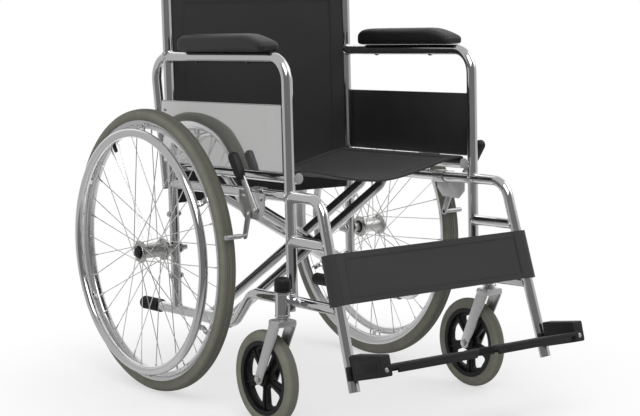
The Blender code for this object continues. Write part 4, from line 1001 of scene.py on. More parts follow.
@dataclass(frozen=True)
class SideFrame(SidePart):
    """The welded tubes of one side."""

    arm_bend: float = 0.048
    arm_rear_u: float = -0.055
    leg_end: Pair = (-0.0228, 0.130)
    lower_rear_u: float = -0.133
    s_bend_u: Pair = (0.224, 0.292)
    s_bend: float = 0.040
    brace_w: float = 0.053
    handle_bend: float = 0.050
    handle_end_u: float = -0.150
    foot_bends: Pair = (0.045, 0.150)
    seat_rail_u: Pair = (0.020, 0.431)
    bolt_w: Pair = (0.075, -0.060)

    def points(self, *pairs: Pair) -> list[Vector]:
        """Frame points of this side at the (u, w) pairs."""
        return [self.on_frame(u, w) for u, w in pairs]

    def paths(self) -> dict[str, list[Vector]]:
        """Centre lines of all the tubes, by the name of their node.

        Returns:
            The points of each.
        """
        place, points = self.layout, self.points
        post, front_w = place.post_u, place.lower_front_w
        foot = points((post, place.upper_w), (place.foot_corner_u, place.upper_w))
        foot += [place.at(self.sign * (place.half_width + place.flare(w)), u, w)
                 for u, w in (place.foot_knee, place.foot_end)]
        lower = points((self.lower_rear_u, place.lower_w), (self.s_bend_u[0], place.lower_w),
                       (self.s_bend_u[1], front_w), (post, front_w))
        arm = points((post, front_w), (post, place.arm_w), (self.arm_rear_u, place.arm_w), self.leg_end)
        cane = points((0, place.arm_w), (0, place.handle_w), (self.handle_end_u, place.handle_w))
        return {
            "arm_tube": rounded_path(arm, (self.arm_bend, self.arm_bend)),
            "rear_post": points((0, place.lower_w), (0, place.arm_w)),
            "back_cane": rounded_path(cane, (self.handle_bend,)),
            "upper_rail": points((0, place.upper_w), (post, place.upper_w)),
            "footrest_tube": rounded_path(foot, self.foot_bends),
            "brace_tube": points((post, self.brace_w)) + [place.footrest(self.sign, self.brace_w)],
            "lower_rail": (rounded_path(lower, (self.s_bend, self.s_bend))
                           + [place.footrest(self.sign, front_w)]),
        }

    def welds(self, paths: Mapping[str, Sequence[Vector]]) -> dict[str, list[tuple[Vector, Vector, Vector]]]:
        """The welds of each tube.

        Args:
            paths: The centre lines of all the tubes.

        Returns:
            By node, the crossing, the direction of the tube and that of the one it joins.
        """
        place = self.layout
        forward, upward = place.forward, place.upward
        down_foot = (paths["footrest_tube"][-1] - paths["footrest_tube"][-2]).normalized()
        post_foot, post_rail, post_brace, rear_foot, rear_rail, rear_top = self.points(
            (place.post_u, place.lower_front_w), (place.post_u, place.upper_w), (place.post_u, self.brace_w),
            (0, place.lower_w), (0, place.upper_w), (0, place.arm_w))
        return {
            "arm_tube": [(post_foot, upward, forward)],
            "rear_post": [(rear_foot, upward, forward), (rear_top, -upward, forward)],
            "back_cane": [(rear_top, upward, forward)],
            "upper_rail": [(rear_rail, forward, upward), (post_rail, -forward, upward)],
            "footrest_tube": [(post_rail, forward, upward)],
            "brace_tube": [(post_brace, forward, upward), (paths["brace_tube"][-1], -forward, down_foot)],
            "lower_rail": [(paths["lower_rail"][-1], -forward, down_foot)],
        }

    def add_post_bolts(self, piece: Piece) -> None:
        """Adds the hexagon heads and nuts of the bolts through the rear post.

        Args:
            piece: The rear post.
        """
        for w in self.bolt_w:
            for axis in (self.outboard, -self.outboard):
                foot = self.on_frame(0, w) + axis * (self.layout.tube - 0.0006)
                piece.add(bolt_head(0.0058, 0.0042), ZINC, pointing(foot, axis, 0.3))

    def build(self) -> None:
        """Builds every tube of the frame, with its welds, bolts and end plugs."""
        tube, paths = self.layout.tube, self.paths()
        welds = self.welds(paths)
        for node, path in paths.items():
            piece = self.piece(node + "_chromed")
            piece.add(Shape.swept(path, tube), CHROME)
            for weld in welds[node]:
                piece.add(weld_bead(*weld, tube), WELD_METAL)
            if node == "rear_post":
                self.add_post_bolts(piece)
            if node == "arm_tube":
                ahead = (path[-1] - path[-2]).normalized()
                piece.add(Shape.rod(tube * 0.9, 0.003, 24, 0.001), BLACK_PLASTIC,
                          pointing(path[-1] - ahead * 0.0012, ahead))
            self.mount(piece, "frame", node)

    def build_seat_rail(self, body: str) -> None:
        """Builds the seat rail, with its grey end plugs, on the body that carries it.

        Args:
            body: The cross member that it is welded to.
        """
        place = self.layout
        rear, front = (place.at(self.sign * place.seat_rail_x, u, place.seat_w) for u in self.seat_rail_u)
        piece = self.piece("seat_rail_chromed")
        piece.add(Shape.swept([rear, front], place.tube), CHROME)
        plug = [(0, 0.0016), (0.0085, 0.0016), (0.0104, 0.0008), (0.0108, 0), (0.0108, -0.0006), (0, -0.0006)]
        piece.add(Shape.turned(plug, 32), GREY_PLUG,
                  pointing(front, place.forward), pointing(rear, -place.forward))
        piece.mount(body, self.name("seat_rail"))


@dataclass(frozen=True)
class SideTrim(SidePart):
    """Side panel, push grip and tip cap of one side."""

    panel_w: Pair = (0.188, 0.321)
    panel_u: Pair = (-0.010, 0.4210)
    panel_x: Pair = (0.2528, 0.2466)
    grip_radius: float = 0.0155
    grip_start_u: float = -0.052
    grip_length: float = 0.1033
    grip_ribs: int = 14
    tip_start_u: float = -0.068
    tip_end_u: float = -0.1383
    tip_rings: int = 5

    def panel_axes(self) -> tuple[Matrix, float]:
        """The panel's plane, from its rear lower corner, and its length.

        Returns:
            A matrix, with +Z outboard, and the length.
        """
        rear, front = (self.layout.at(self.sign * x, u, 0) for x, u in zip(self.panel_x, self.panel_u))
        along = (front - rear).normalized()
        across = self.layout.upward.cross(along).normalized()
        outward = across * math.copysign(1.0, across.x * self.sign)
        return axes_at(rear, along, self.layout.upward, outward), (front - rear).length

    def build_panel(self) -> None:
        """Builds the panel: polished sheet outside, black backing inside, both edges folded over."""
        matrix, length = self.panel_axes()
        low, high = self.panel_w
        piece = self.piece("side_panel_sheet")
        piece.add(Shape.plate(oblong((0, low), (length, high), 0.004), 0.0014, 0.0004), PANEL_SHEET,
                  matrix @ shift(0, 0, 0.0008))
        rear, front = 0.002, length - 0.002
        backing = [(rear, low + 0.002), (front, low + 0.002), (front, high - 0.002), (rear, high - 0.002)]
        piece.add(Shape.plate(backing, 0.0013, 0.0002), PANEL_BACK, matrix @ shift(0, 0, -0.0006))
        folds = [matrix @ shift(rear, w, 0) @ Matrix.Rotation(math.pi / 2, 4, "Y")
                 for w in (low + 0.0014, high - 0.0014)]
        piece.add(Shape.rod(0.0016, length - 0.004, 12, 0.0006), DARK_STEEL, *folds)
        rivets = [matrix @ shift(0.010, w, 0.0014) for w in (low + 0.020, high - 0.020)]
        piece.add(round_head(0.0042, 0.0018), ZINC, *rivets)
        self.mount(piece, "frame", "side_panel")

    def build_grip(self) -> None:
        """Builds the push grip, with a flange, finger ribs and a rounded end."""
        radius, length = self.grip_radius, self.grip_length
        flange = radius + 0.002
        profile = [(self.layout.tube + 0.0003, 0), (flange - 0.0005, 0), (flange, 0.0006), (flange, 0.0026),
                   (radius + 0.0012, 0.0036), (radius - 0.0010, 0.0048)]
        for at in (0.0085 + 0.0058 * i for i in range(self.grip_ribs)):
            profile += [(radius - 0.0011, at), (radius - 0.0002, at + 0.0011), (radius, at + 0.0021),
                        (radius - 0.0002, at + 0.0031), (radius - 0.0011, at + 0.0042)]
        end = arc((radius - 0.005, length - 0.005), 0.005, 0, math.pi / 2, 6)
        profile += [(radius, length - 0.010), *end, (0.004, length), (0.0032, length - 0.0012),
                    (0, length - 0.0012)]
        piece = self.piece("push_grip_ribbed")
        start = self.on_frame(self.grip_start_u, self.layout.handle_w)
        piece.add(Shape.turned(profile), GRIP_RUBBER, pointing(start, -self.layout.forward))
        self.mount(piece, "frame", "push_grip")

    def build_tip_cap(self) -> None:
        """Builds the rubber cap on the tip tube, with its grip rings."""
        length, outer = self.tip_start_u - self.tip_end_u, self.layout.tube + 0.0037
        profile = [(self.layout.tube + 0.0002, 0), (outer - 0.0006, 0), (outer, 0.0007), (outer, 0.0034)]
        for at in (0.010 + 0.012 * i for i in range(self.tip_rings)):
            profile += [(outer - 0.0002, at - 0.0024), (outer - 0.0010, at - 0.0014),
                        (outer - 0.0010, at + 0.0014), (outer - 0.0002, at + 0.0024)]
        profile += [(outer, length - 0.004), (outer - 0.0009, length - 0.0014), (outer - 0.003, length),
                    (0, length)]
        piece = self.piece("tip_cap_ribbed")
        start = self.on_frame(self.tip_start_u, self.layout.lower_w)
        piece.add(Shape.turned(profile, 40), GRIP_RUBBER, pointing(start, -self.layout.forward))
        self.mount(piece, "frame", "tip_cap")

    def build(self) -> None:
        """Builds the side's trim."""
        self.build_panel()
        self.build_grip()
        self.build_tip_cap()


@dataclass(frozen=True)
class ArmPad(SidePart):
    """Padded armrest: vinyl over foam on a board, screwed up through the armrest tube."""

    start_u: float = 0.070
    end_u: float = 0.380
    half_width: float = 0.025
    height: float = 0.036
    edge: float = 0.0105
    slope_from: float = 0.308
    tip_height: float = 0.0165
    heel: float = 0.026
    screws_u: Pair = (0.115, 0.300)

    def outline(self, u: float, rise: float, aside: float) -> Vector:
        """Place of a pad point.

        Args:
            u: Distance forward from the axle.
            rise: Share of the pad's height there, from 0 to 1.
            aside: Share of its half width, from -1 to 1.

        Returns:
            The point.
        """
        place = self.layout
        past = min(1.0, max(0.0, (u - self.slope_from) / (self.end_u - self.slope_from)))
        short = max(0.0, self.heel - (u - self.start_u)) / self.heel
        drop = ((self.height - self.tip_height) * past ** 1.6
                + 0.6 * self.height * (1 - math.sqrt(max(0.0, 1 - short * short))))
        w = (place.arm_w + place.tube + 0.0006
             + rise * (self.height - drop) * (1.0 - 0.07 * aside * aside * rise))
        return place.at(self.sign * place.half_width + aside * self.half_width, u, w)

    def cushion(self) -> Shape:
        """The foam's outer shape, with soft edges and a sloping front.

        Returns:
            The shape.
        """
        length, width = self.end_u - self.start_u, 2 * self.half_width
        shape = Shape.block((0, 0, 0), (length, width, self.height), self.edge, 4)
        shape.sliced(X_AXIS, (length * i / 18 for i in range(1, 18)))
        shape.sliced(Y_AXIS, (width * i / 8 for i in range(2, 7)))
        for corner in shape.mesh.verts:
            along, aside, rise = corner.co
            corner.co = self.outline(self.start_u + along, rise / self.height, aside / self.half_width - 1.0)
        return shape.outward()

    def build(self) -> None:
        """Builds the cushion, and the screws that hold its board."""
        place = self.layout
        piece = self.piece("arm_pad_cushion")
        piece.add(self.cushion(), VINYL)
        pad = self.mount(piece, "frame", "arm_pad", crease=60.0)
        rounding = pad.modifiers.new("rounding", "SUBSURF")
        rounding.levels = rounding.render_levels = 1
        under = self.piece("arm_pad_screws")
        under.add(round_head(0.0052, 0.0024), DARK_STEEL,
                  *(pointing(self.on_frame(u, place.arm_w - place.tube + 0.0004), -place.upward)
                    for u in self.screws_u))
        self.mount(under, "frame")


# Wheels


@dataclass(frozen=True)
class RearWheel(SidePart):
    """Tyre, rim, handrim, hub and spokes of one rear wheel, and the axle through it."""

    radius: float = 0.305
    tyre_inner: float = 0.2795
    rim_inner: float = 0.262
    handrim_outer: float = 0.2656
    handrim_tube: float = 0.0095
    tabs: int = 6
    tab_x: float = 0.0148
    tab_thickness: float = 0.003
    hub_half: float = 0.0325
    hub_radius: float = 0.016
    flange_radius: float = 0.024
    flange_thickness: float = 0.006
    spokes_per_flange: int = 18
    spoke_radius: float = 0.001
    spoke_lean: float = math.radians(66)
    valve_angle: float = math.radians(54.5)
    axle_x: float = 0.212
    axle_radius: float = 0.006

    @property
    def centre(self) -> Vector:
        """Middle of the wheel on the axle's line."""
        return self.on_axle(self.layout.wheel_x)

    def on_axle(self, x: float) -> Vector:
        """Point on the axle's line, at distance x from the chair's middle."""
        return self.beside(x, 0, self.layout.axle_z)

    def radial(self, angle: float) -> Vector:
        """Direction from the axle at an angle from straight back, upwards."""
        return Vector((0, math.cos(angle), math.sin(angle)))

    def build_tyre(self) -> None:
        """Builds the tyre, with a bead, a sidewall line and a ribbed tread."""
        inner, outer = self.tyre_inner, self.radius
        side = ((0, 0.0118), (0.0012, 0.0134), (0.0035, 0.0151), (0.0066, 0.0166), (0.0078, 0.0172),
                (0.0086, 0.0170), (0.0096, 0.0173), (0.0125, 0.0175), (0.0160, 0.0170), (0.0192, 0.0156),
                (0.0218, 0.0132), (0.0236, 0.0106))
        tread = ((0.0013, 0.0094), (0.0020, 0.0088), (0.0020, 0.0078), (0.0007, 0.0072), (0.0005, 0.0050),
                 (0.0014, 0.0044), (0.0014, 0.0034), (0.0001, 0.0028), (0, 0.0))
        half = [(inner + r, x) for r, x in side] + [(outer - r, x) for r, x in tread]
        piece = self.piece("tyre_rubber")
        place = self.layout
        tyre = TyreRubber("tyre_rubber", "grey_tyre", TYRE_COLOUR, 0.72, (place.axle_y, place.axle_z))
        piece.add(Shape.turned(mirrored(half), 160, closed=True), tyre, pointing(self.centre, X_AXIS))
        self.mount(piece, "wheel", "tyre")

    def build_rim(self) -> None:
        """Builds the rim, with rolled lips and a ridge along its well, and the valve."""
        well = ((0.0004, 0.0), (0, 0.0022), (0.0006, 0.0050), (0.0022, 0.0074), (0.0046, 0.0090),
                (0.0070, 0.0101), (0.0078, 0.0114), (0.0112, 0.0131), (0.0150, 0.0139))
        lip = ((0.0004, 0.0144), (0.0016, 0.0145), (0.0022, 0.0139), (0.0020, 0.0129), (0.0004, 0.0124),
               (-0.0030, 0.0116), (-0.0100, 0.0080), (-0.0135, 0.0))
        half = [(self.rim_inner + r, x) for r, x in well] + [(self.tyre_inner + r, x) for r, x in lip]
        piece = self.piece("rim_rolled")
        piece.add(Shape.turned(mirrored(half), 160, closed=True), RIM_STEEL, pointing(self.centre, X_AXIS))
        outward = self.radial(self.valve_angle)
        cap = [(0, 0), (0.0044, 0), (0.0044, 0.006), (0.0038, 0.0068), (0.0043, 0.0076), (0.0043, 0.0150),
               (0.0036, 0.0172), (0, 0.0178)]
        piece.add(Shape.turned(cap, 20), BLACK_PLASTIC,
                  pointing(self.centre + outward * (self.rim_inner + 0.002), -outward))
        self.mount(piece, "wheel", "rim")

    def strip_outline(self, line: Sequence[Vector]) -> list[Pair]:
        """Outline of a tab's strip, of even thickness along a flat line.

        Args:
            line: The strip's middle line.

        Returns:
            The outline.
        """
        left, right = [], []
        for i, point in enumerate(line):
            along = (line[min(len(line) - 1, i + 1)] - line[max(0, i - 1)]).normalized()
            across = Vector((-along.y, along.x, 0)) * self.tab_thickness / 2
            left.append((point + across).to_2d()[:])
            right.append((point - across).to_2d()[:])
        return left + right[::-1]

    def build_handrim(self) -> None:
        """Builds the handrim tube and the bent tabs that hold it to the rim."""
        ring = self.handrim_outer - self.handrim_tube
        offset = self.layout.handrim_x - self.layout.wheel_x
        piece = self.piece("handrim_tube")
        profile = [(ring + r, x) for r, x in circle(self.handrim_tube, 20)]
        piece.add(Shape.turned(profile, 160, closed=True), CHROME,
                  pointing(self.on_axle(self.layout.handrim_x), X_AXIS))
        foot_x = self.tab_x + self.tab_thickness / 2
        line = [Vector((foot_x, self.rim_inner + 0.0135, 0)), Vector((foot_x, ring, 0)),
                Vector((offset - 0.004, ring, 0))]
        places, heads = [], []
        for i in range(self.tabs):
            radial = self.radial(2 * math.pi * (i + 0.5) / self.tabs)
            places.append(axes_at(self.centre, self.outboard, radial, self.outboard.cross(radial)))
            heads.append(pointing(self.centre + self.outboard * (self.tab_x + self.tab_thickness)
                                  + radial * (self.rim_inner + 0.0085), self.outboard, 0.4 * i))
        strip = self.strip_outline(rounded_path(line, (0.006,), 6))
        piece.add(Shape.plate(strip, 0.012, 0.0006), CHROME, *places)
        piece.add(bolt_head(0.0036, 0.0026), ZINC, *heads)
        self.mount(piece, "wheel", "handrim")

    def spoke_line(self, flange: int, index: int, leaning: int) -> tuple[Vector, Vector]:
        """Where a spoke leaves its flange and where it meets the rim.

        Args:
            flange: -1 or 1 for the flange at lower or higher x.
            index: Which of the flange's spokes it is.
            leaning: -1 or 1 for a spoke that leans backwards or forwards round the hub.

        Returns:
            Both ends.
        """
        angle = 2 * math.pi * (index + 0.25 * flange) / self.spokes_per_flange + math.pi / 36
        hub_x = flange * (self.hub_half - self.flange_thickness / 2) + leaning * 0.0042
        start = (self.centre + X_AXIS * hub_x
                 + self.radial(angle + leaning * self.spoke_lean) * (self.flange_radius - 0.004))
        end = (self.centre + X_AXIS * (flange * 0.004 + leaning * 0.0006)
               + self.radial(angle) * (self.rim_inner + 0.001))
        return start, end

    def build_hub(self) -> None:
        """Builds the hub shell with its flanges, and the spokes with heads and nipples."""
        half, flange, shell = self.hub_half, self.flange_radius, self.hub_radius
        neck = half - self.flange_thickness
        side = [(0.0080, half - 0.0010), (0.0088, half + 0.0002), (0.0150, half + 0.0002),
                (0.0158, half - 0.0016), (0.0172, half - 0.0018), (0.0180, half - 0.0014),
                (flange - 0.0012, half - 0.0014),
                (flange, half - 0.0024), (flange, neck + 0.0006), (flange - 0.0010, neck),
                (shell + 0.0035, neck - 0.0004), (shell + 0.0008, neck - 0.0022), (shell, neck - 0.0050),
                (shell - 0.0008, 0.010)]
        piece = self.piece("hub_and_spokes")
        piece.add(Shape.turned(mirrored(side), 56, closed=True), ZINC, pointing(self.centre, X_AXIS))
        seal = [(0.0066, 0), (0.0146, 0), (0.0146, 0.0009), (0.0120, 0.0014), (0.0066, 0.0014)]
        seals = [pointing(self.centre + end * (half - 0.0006), end) for end in (-X_AXIS, X_AXIS)]
        piece.add(Shape.turned(seal, 32, closed=True), BLACK_PLASTIC, *seals)
        length = 0.0
        wires, nipples, heads = [], [], []
        for side_sign in (-1, 1):
            for index in range(self.spokes_per_flange):
                leaning = 1 if index % 2 else -1
                start, end = self.spoke_line(side_sign, index, leaning)
                along, length = (end - start).normalized(), (end - start).length
                wires.append(pointing(start, along))
                nipples.append(pointing(end - along * 0.0115, along))
                heads.append(pointing(start - X_AXIS * leaning * 0.0004, X_AXIS * leaning))
        piece.add(Shape.rod(self.spoke_radius, length, 8), SPOKE_STEEL, *wires)
        piece.add(Shape.rod(0.0019, 0.0125, 8, 0.0004), SPOKE_STEEL, *nipples)
        piece.add(Shape.rod(0.0019, 0.0018, 8, 0.0005), SPOKE_STEEL, *heads)
        self.mount(piece, "wheel", "hub_spokes")

    def build_axle(self) -> None:
        """Builds the fixed axle bolt, with its nut and spacer inside and its cap outside."""
        place, radius = self.layout, self.axle_radius
        cap_x = place.wheel_x + self.hub_half + 0.0003
        spacer_x = place.half_width + place.tube - 0.0012
        length = place.wheel_x - self.hub_half - spacer_x - 0.0003
        piece = self.piece("axle_bolt_fine")
        piece.add(Shape.rod(radius, cap_x - self.axle_x, 24, 0.0008), ZINC,
                  pointing(self.on_axle(self.axle_x), self.outboard))
        spacer = [(radius, 0), (0.0096, 0), (0.0100, 0.0005), (0.0100, length - 0.0006), (0.0094, length),
                  (radius, length)]
        piece.add(Shape.turned(spacer, 32, closed=True), ZINC,
                  pointing(self.on_axle(spacer_x), self.outboard))
        piece.add(bolt_head(0.0092, 0.0068), ZINC,
                  pointing(self.on_axle(place.half_width - place.tube + 0.0003), -self.outboard, 0.2))
        cap = [(0, 0), (0.0106, 0), (0.0110, 0.0006), (0.0110, 0.0040), (0.0100, 0.0062), (0.0080, 0.0073),
               (0, 0.0075)]
        piece.add(Shape.turned(cap, 32), BLACK_PLASTIC, pointing(self.on_axle(cap_x), self.outboard))
        self.mount(piece, "frame", "axle_bolt")

    def build(self) -> None:
        """Builds the wheel and its axle."""
        self.build_tyre()
        self.build_rim()
        self.build_handrim()
        self.build_hub()
        self.build_axle()


@dataclass(frozen=True)
class Caster(SidePart):
    """Caster housing, fork, wheel and tyre of one side."""

    trail: float = 0.0545
    half_width: float = 0.015
    rim_radius: float = 0.0765
    rim_half: float = 0.012
    hub_radius: float = 0.016
    openings: int = 5
    web: float = 0.010
    barrel_radius: float = 0.0155
    barrel_z: Pair = (0.231, 0.282)
    cap_height: float = 0.0277
    crown_z: Pair = (0.213, 0.226)
    crown_half: float = 0.017
    shoulder: float = 0.005
    blade_half: float = 0.0145
    fork_gap: float = 0.019
    fork_plate: float = 0.003

    @property
    def hub(self) -> Vector:
        """Middle of the caster wheel."""
        place = self.layout
        return self.beside(place.caster_x, place.caster_y + self.trail, place.caster_radius)

    def on_post(self, z: float) -> Vector:
        """Point on the swivel axis at the height z."""
        return self.beside(self.layout.caster_x, self.layout.caster_y, z)

    def build_housing(self) -> None:
        """Builds the barrel with its collars, and the lug that joins it to the frame."""
        low, high = self.barrel_z
        radius, height = self.barrel_radius, high - low
        profile = [(0.0064, 0), (radius - 0.0006, 0), (radius, 0.0006), (radius, 0.0045),
                   (radius - 0.0008, 0.0052), (radius - 0.0008, height - 0.0052), (radius, height - 0.0045),
                   (radius, height - 0.0006), (radius - 0.0006, height), (0.0064, height)]
        piece = self.piece("caster_housing_turned")
        piece.add(Shape.turned(profile, 40, closed=True), CHROME, Matrix.Translation(self.on_post(low)))
        place = self.layout
        near, far = sorted((self.sign * (place.half_width + 0.008), self.sign * (place.caster_x - 0.010)))
        y = place.axle_y + place.caster_y
        piece.add(Shape.block((near, y - 0.010, low + 0.009), (far, y + 0.010, high - 0.006), 0.0018), CHROME)
        self.mount(piece, "frame", "caster_housing")

    def build_cap(self) -> None:
        """Builds the black dust cap on the barrel, with a groove round it and a domed top."""
        rise, wide = self.cap_height, self.barrel_radius + 0.001
        dome = [(0, 0), (wide - 0.0006, 0), (wide, 0.0006), (wide, 0.0052), (wide - 0.0012, 0.0058),
                (wide - 0.0012, 0.0066), (wide, 0.0072), (wide, rise * 0.60)]
        dome += [(wide * (0.55 + 0.45 * r), rise * (0.60 + 0.40 * h))
                 for r, h in arc((0, 0), 1.0, 0, math.pi / 2)[1:]]
        piece = self.piece("caster_cap_domed")
        piece.add(Shape.turned([*dome, (0, rise)], 40), BLACK_PLASTIC,
                  Matrix.Translation(self.on_post(self.barrel_z[1] + 0.0003)))
        self.mount(piece, "frame", "caster_cap")

    def blade_outline(self) -> list[Pair]:
        """Outline of a fork blade, with distances behind the rear axle and heights.

        Returns:
            The outline.
        """
        y, (low, high), half = self.layout.caster_y, self.crown_z, self.blade_half
        foot = arc((y + self.trail, self.layout.caster_radius), 0.012, 0.2, -math.pi + 0.2, 16)
        return [(y - half, high - 0.005), (y + half, high - 0.005), *foot, (y - half, low - 0.004)]

    def build_fork(self) -> None:
        """Builds the stamped fork: crown with rounded shoulders, two blades, race, stem and axle."""
        place, (low, high), edge = self.layout, self.crown_z, self.shoulder
        half = self.fork_gap + self.fork_plate
        piece = self.piece("caster_fork_stamped")
        arch = [(-half, low), *arc((edge - half, high - edge), edge, math.pi, math.pi / 2, 5),
                *arc((half - edge, high - edge), edge, math.pi / 2, 0, 5), (half, low)]
        piece.add(Shape.plate(arch, 2 * self.crown_half, 0.0006), STAMPED_STEEL,
                  axes_at(self.on_post(0), X_AXIS, Z_AXIS, -Y_AXIS))
        ends = (-X_AXIS, X_AXIS)
        blades = [axes_at(self.beside(place.caster_x, 0, 0) + end * (half - self.fork_plate / 2 - 0.0002),
                          Y_AXIS, Z_AXIS, X_AXIS) for end in ends]
        piece.add(Shape.plate(self.blade_outline(), self.fork_plate, 0.0007), STAMPED_STEEL, *blades)
        race = [(0, 0), (0.0125, 0), (0.0130, 0.0006), (0.0130, 0.0022), (0.0110, 0.0030), (0.0110, 0.0048),
                (0, 0.0048)]
        piece.add(Shape.turned(race, 32), ZINC, Matrix.Translation(self.on_post(high - 0.0002)))
        piece.add(Shape.rod(0.006, self.barrel_z[1] - low - 0.002), ZINC,
                  Matrix.Translation(self.on_post(low + 0.001)))
        piece.add(Shape.rod(0.005, 2 * half + 0.008, edge=0.0006), ZINC,
                  pointing(self.hub - X_AXIS * (half + 0.004), X_AXIS))
        heads = [pointing(self.hub + end * (half - 0.0005), end, 0.5) for end in ends]
        piece.add(bolt_head(0.0072, 0.0036), ZINC, *heads)
        self.mount(piece, "caster", "caster_fork")

    def opening(self, angle: float, inner: float, outer: float) -> list[Pair]:
        """Outline of one opening in the wheel's disc, its corners rounded.

        Args:
            angle: Where its middle lies round the hub.
            inner: Its inner radius.
            outer: Its outer radius, at its corners.

        Returns:
            The outline.
        """
        narrow, wide = math.radians(17), math.radians(25)
        corners = ((outer, -wide), (outer * 1.06, 0.0), (outer, wide), (inner, narrow), (inner, -narrow))
        return rounded_outline([(r * math.cos(angle + a), r * math.sin(angle + a)) for r, a in corners],
                               0.0055)

    def build_wheel(self) -> None:
        """Builds the moulded wheel: hub, pierced disc with ribs, and rim."""
        rim, rim_half = self.rim_radius, self.rim_half
        inner, hub_half = rim - 0.010, self.fork_gap - 0.0006
        matrix = axes_at(self.hub, Y_AXIS, Z_AXIS, X_AXIS)
        piece = self.piece("caster_wheel_moulded")
        turns = [2 * math.pi * i / self.openings + math.pi / 2 for i in range(self.openings)]
        openings = [self.opening(turn, self.hub_radius + 0.007, inner - 0.008) for turn in turns]
        piece.add(Shape.plate(circle(inner + 0.002, 96), self.web, 0.0012, openings), CASTER_BLACK, matrix)
        ring = [(inner - 0.0006, 0.0), (inner - 0.0002, rim_half - 0.0012), (inner + 0.0010, rim_half),
                (rim - 0.0012, rim_half), (rim, rim_half - 0.001)]
        piece.add(Shape.turned(mirrored(ring), 96, closed=True), CASTER_BLACK, matrix)
        hub = [(0.0052, 0.0), (0.0052, hub_half - 0.0004), (0.0066, hub_half), (0.0092, hub_half),
               (0.0100, hub_half - 0.0016), (0.0132, hub_half - 0.0020), (self.hub_radius, hub_half - 0.0050),
               (self.hub_radius, 0.0)]
        piece.add(Shape.turned(mirrored(hub), closed=True), CASTER_BLACK, matrix)
        rib = Shape.block((self.hub_radius - 0.002, -0.0021, -0.0086),
                          (inner + 0.002, 0.0021, 0.0086), 0.0012)
        piece.add(rib, CASTER_BLACK,
                  *(matrix @ Matrix.Rotation(turn + math.pi / self.openings, 4, "Z") for turn in turns))
        self.mount(piece, "caster_wheel", "caster_wheel")

    def build_tyre(self) -> None:
        """Builds the caster's solid tyre."""
        place, half_width = self.layout, self.half_width
        bead, outer = self.rim_radius - 0.0004, place.caster_radius
        half = [(bead, half_width - 0.0030), (bead + 0.0014, half_width - 0.0018),
                (bead + 0.0050, half_width - 0.0002), (bead + 0.0095, half_width),
                (bead + 0.0132, half_width - 0.0010), (outer - 0.0044, half_width - 0.0032),
                (outer - 0.0022, half_width - 0.0062), (outer - 0.0008, half_width - 0.0094),
                (outer, 0.0020), (outer, 0.0)]
        tyre = TyreRubber("caster_rubber", "grey_tyre", TYRE_COLOUR, 0.66, (self.hub.y, self.hub.z),
                          (outer - 0.004, outer - 0.0002), 0.0024)
        piece = self.piece("caster_tyre_rubber")
        piece.add(Shape.turned(mirrored(half), 96, closed=True), tyre, pointing(self.hub, X_AXIS))
        self.mount(piece, "caster_wheel", "caster_tyre")

    def build(self) -> None:
        """Builds the caster."""
        self.build_housing()
        self.build_cap()
        self.build_fork()
        self.build_wheel()
        self.build_tyre()


# Brake and footplate


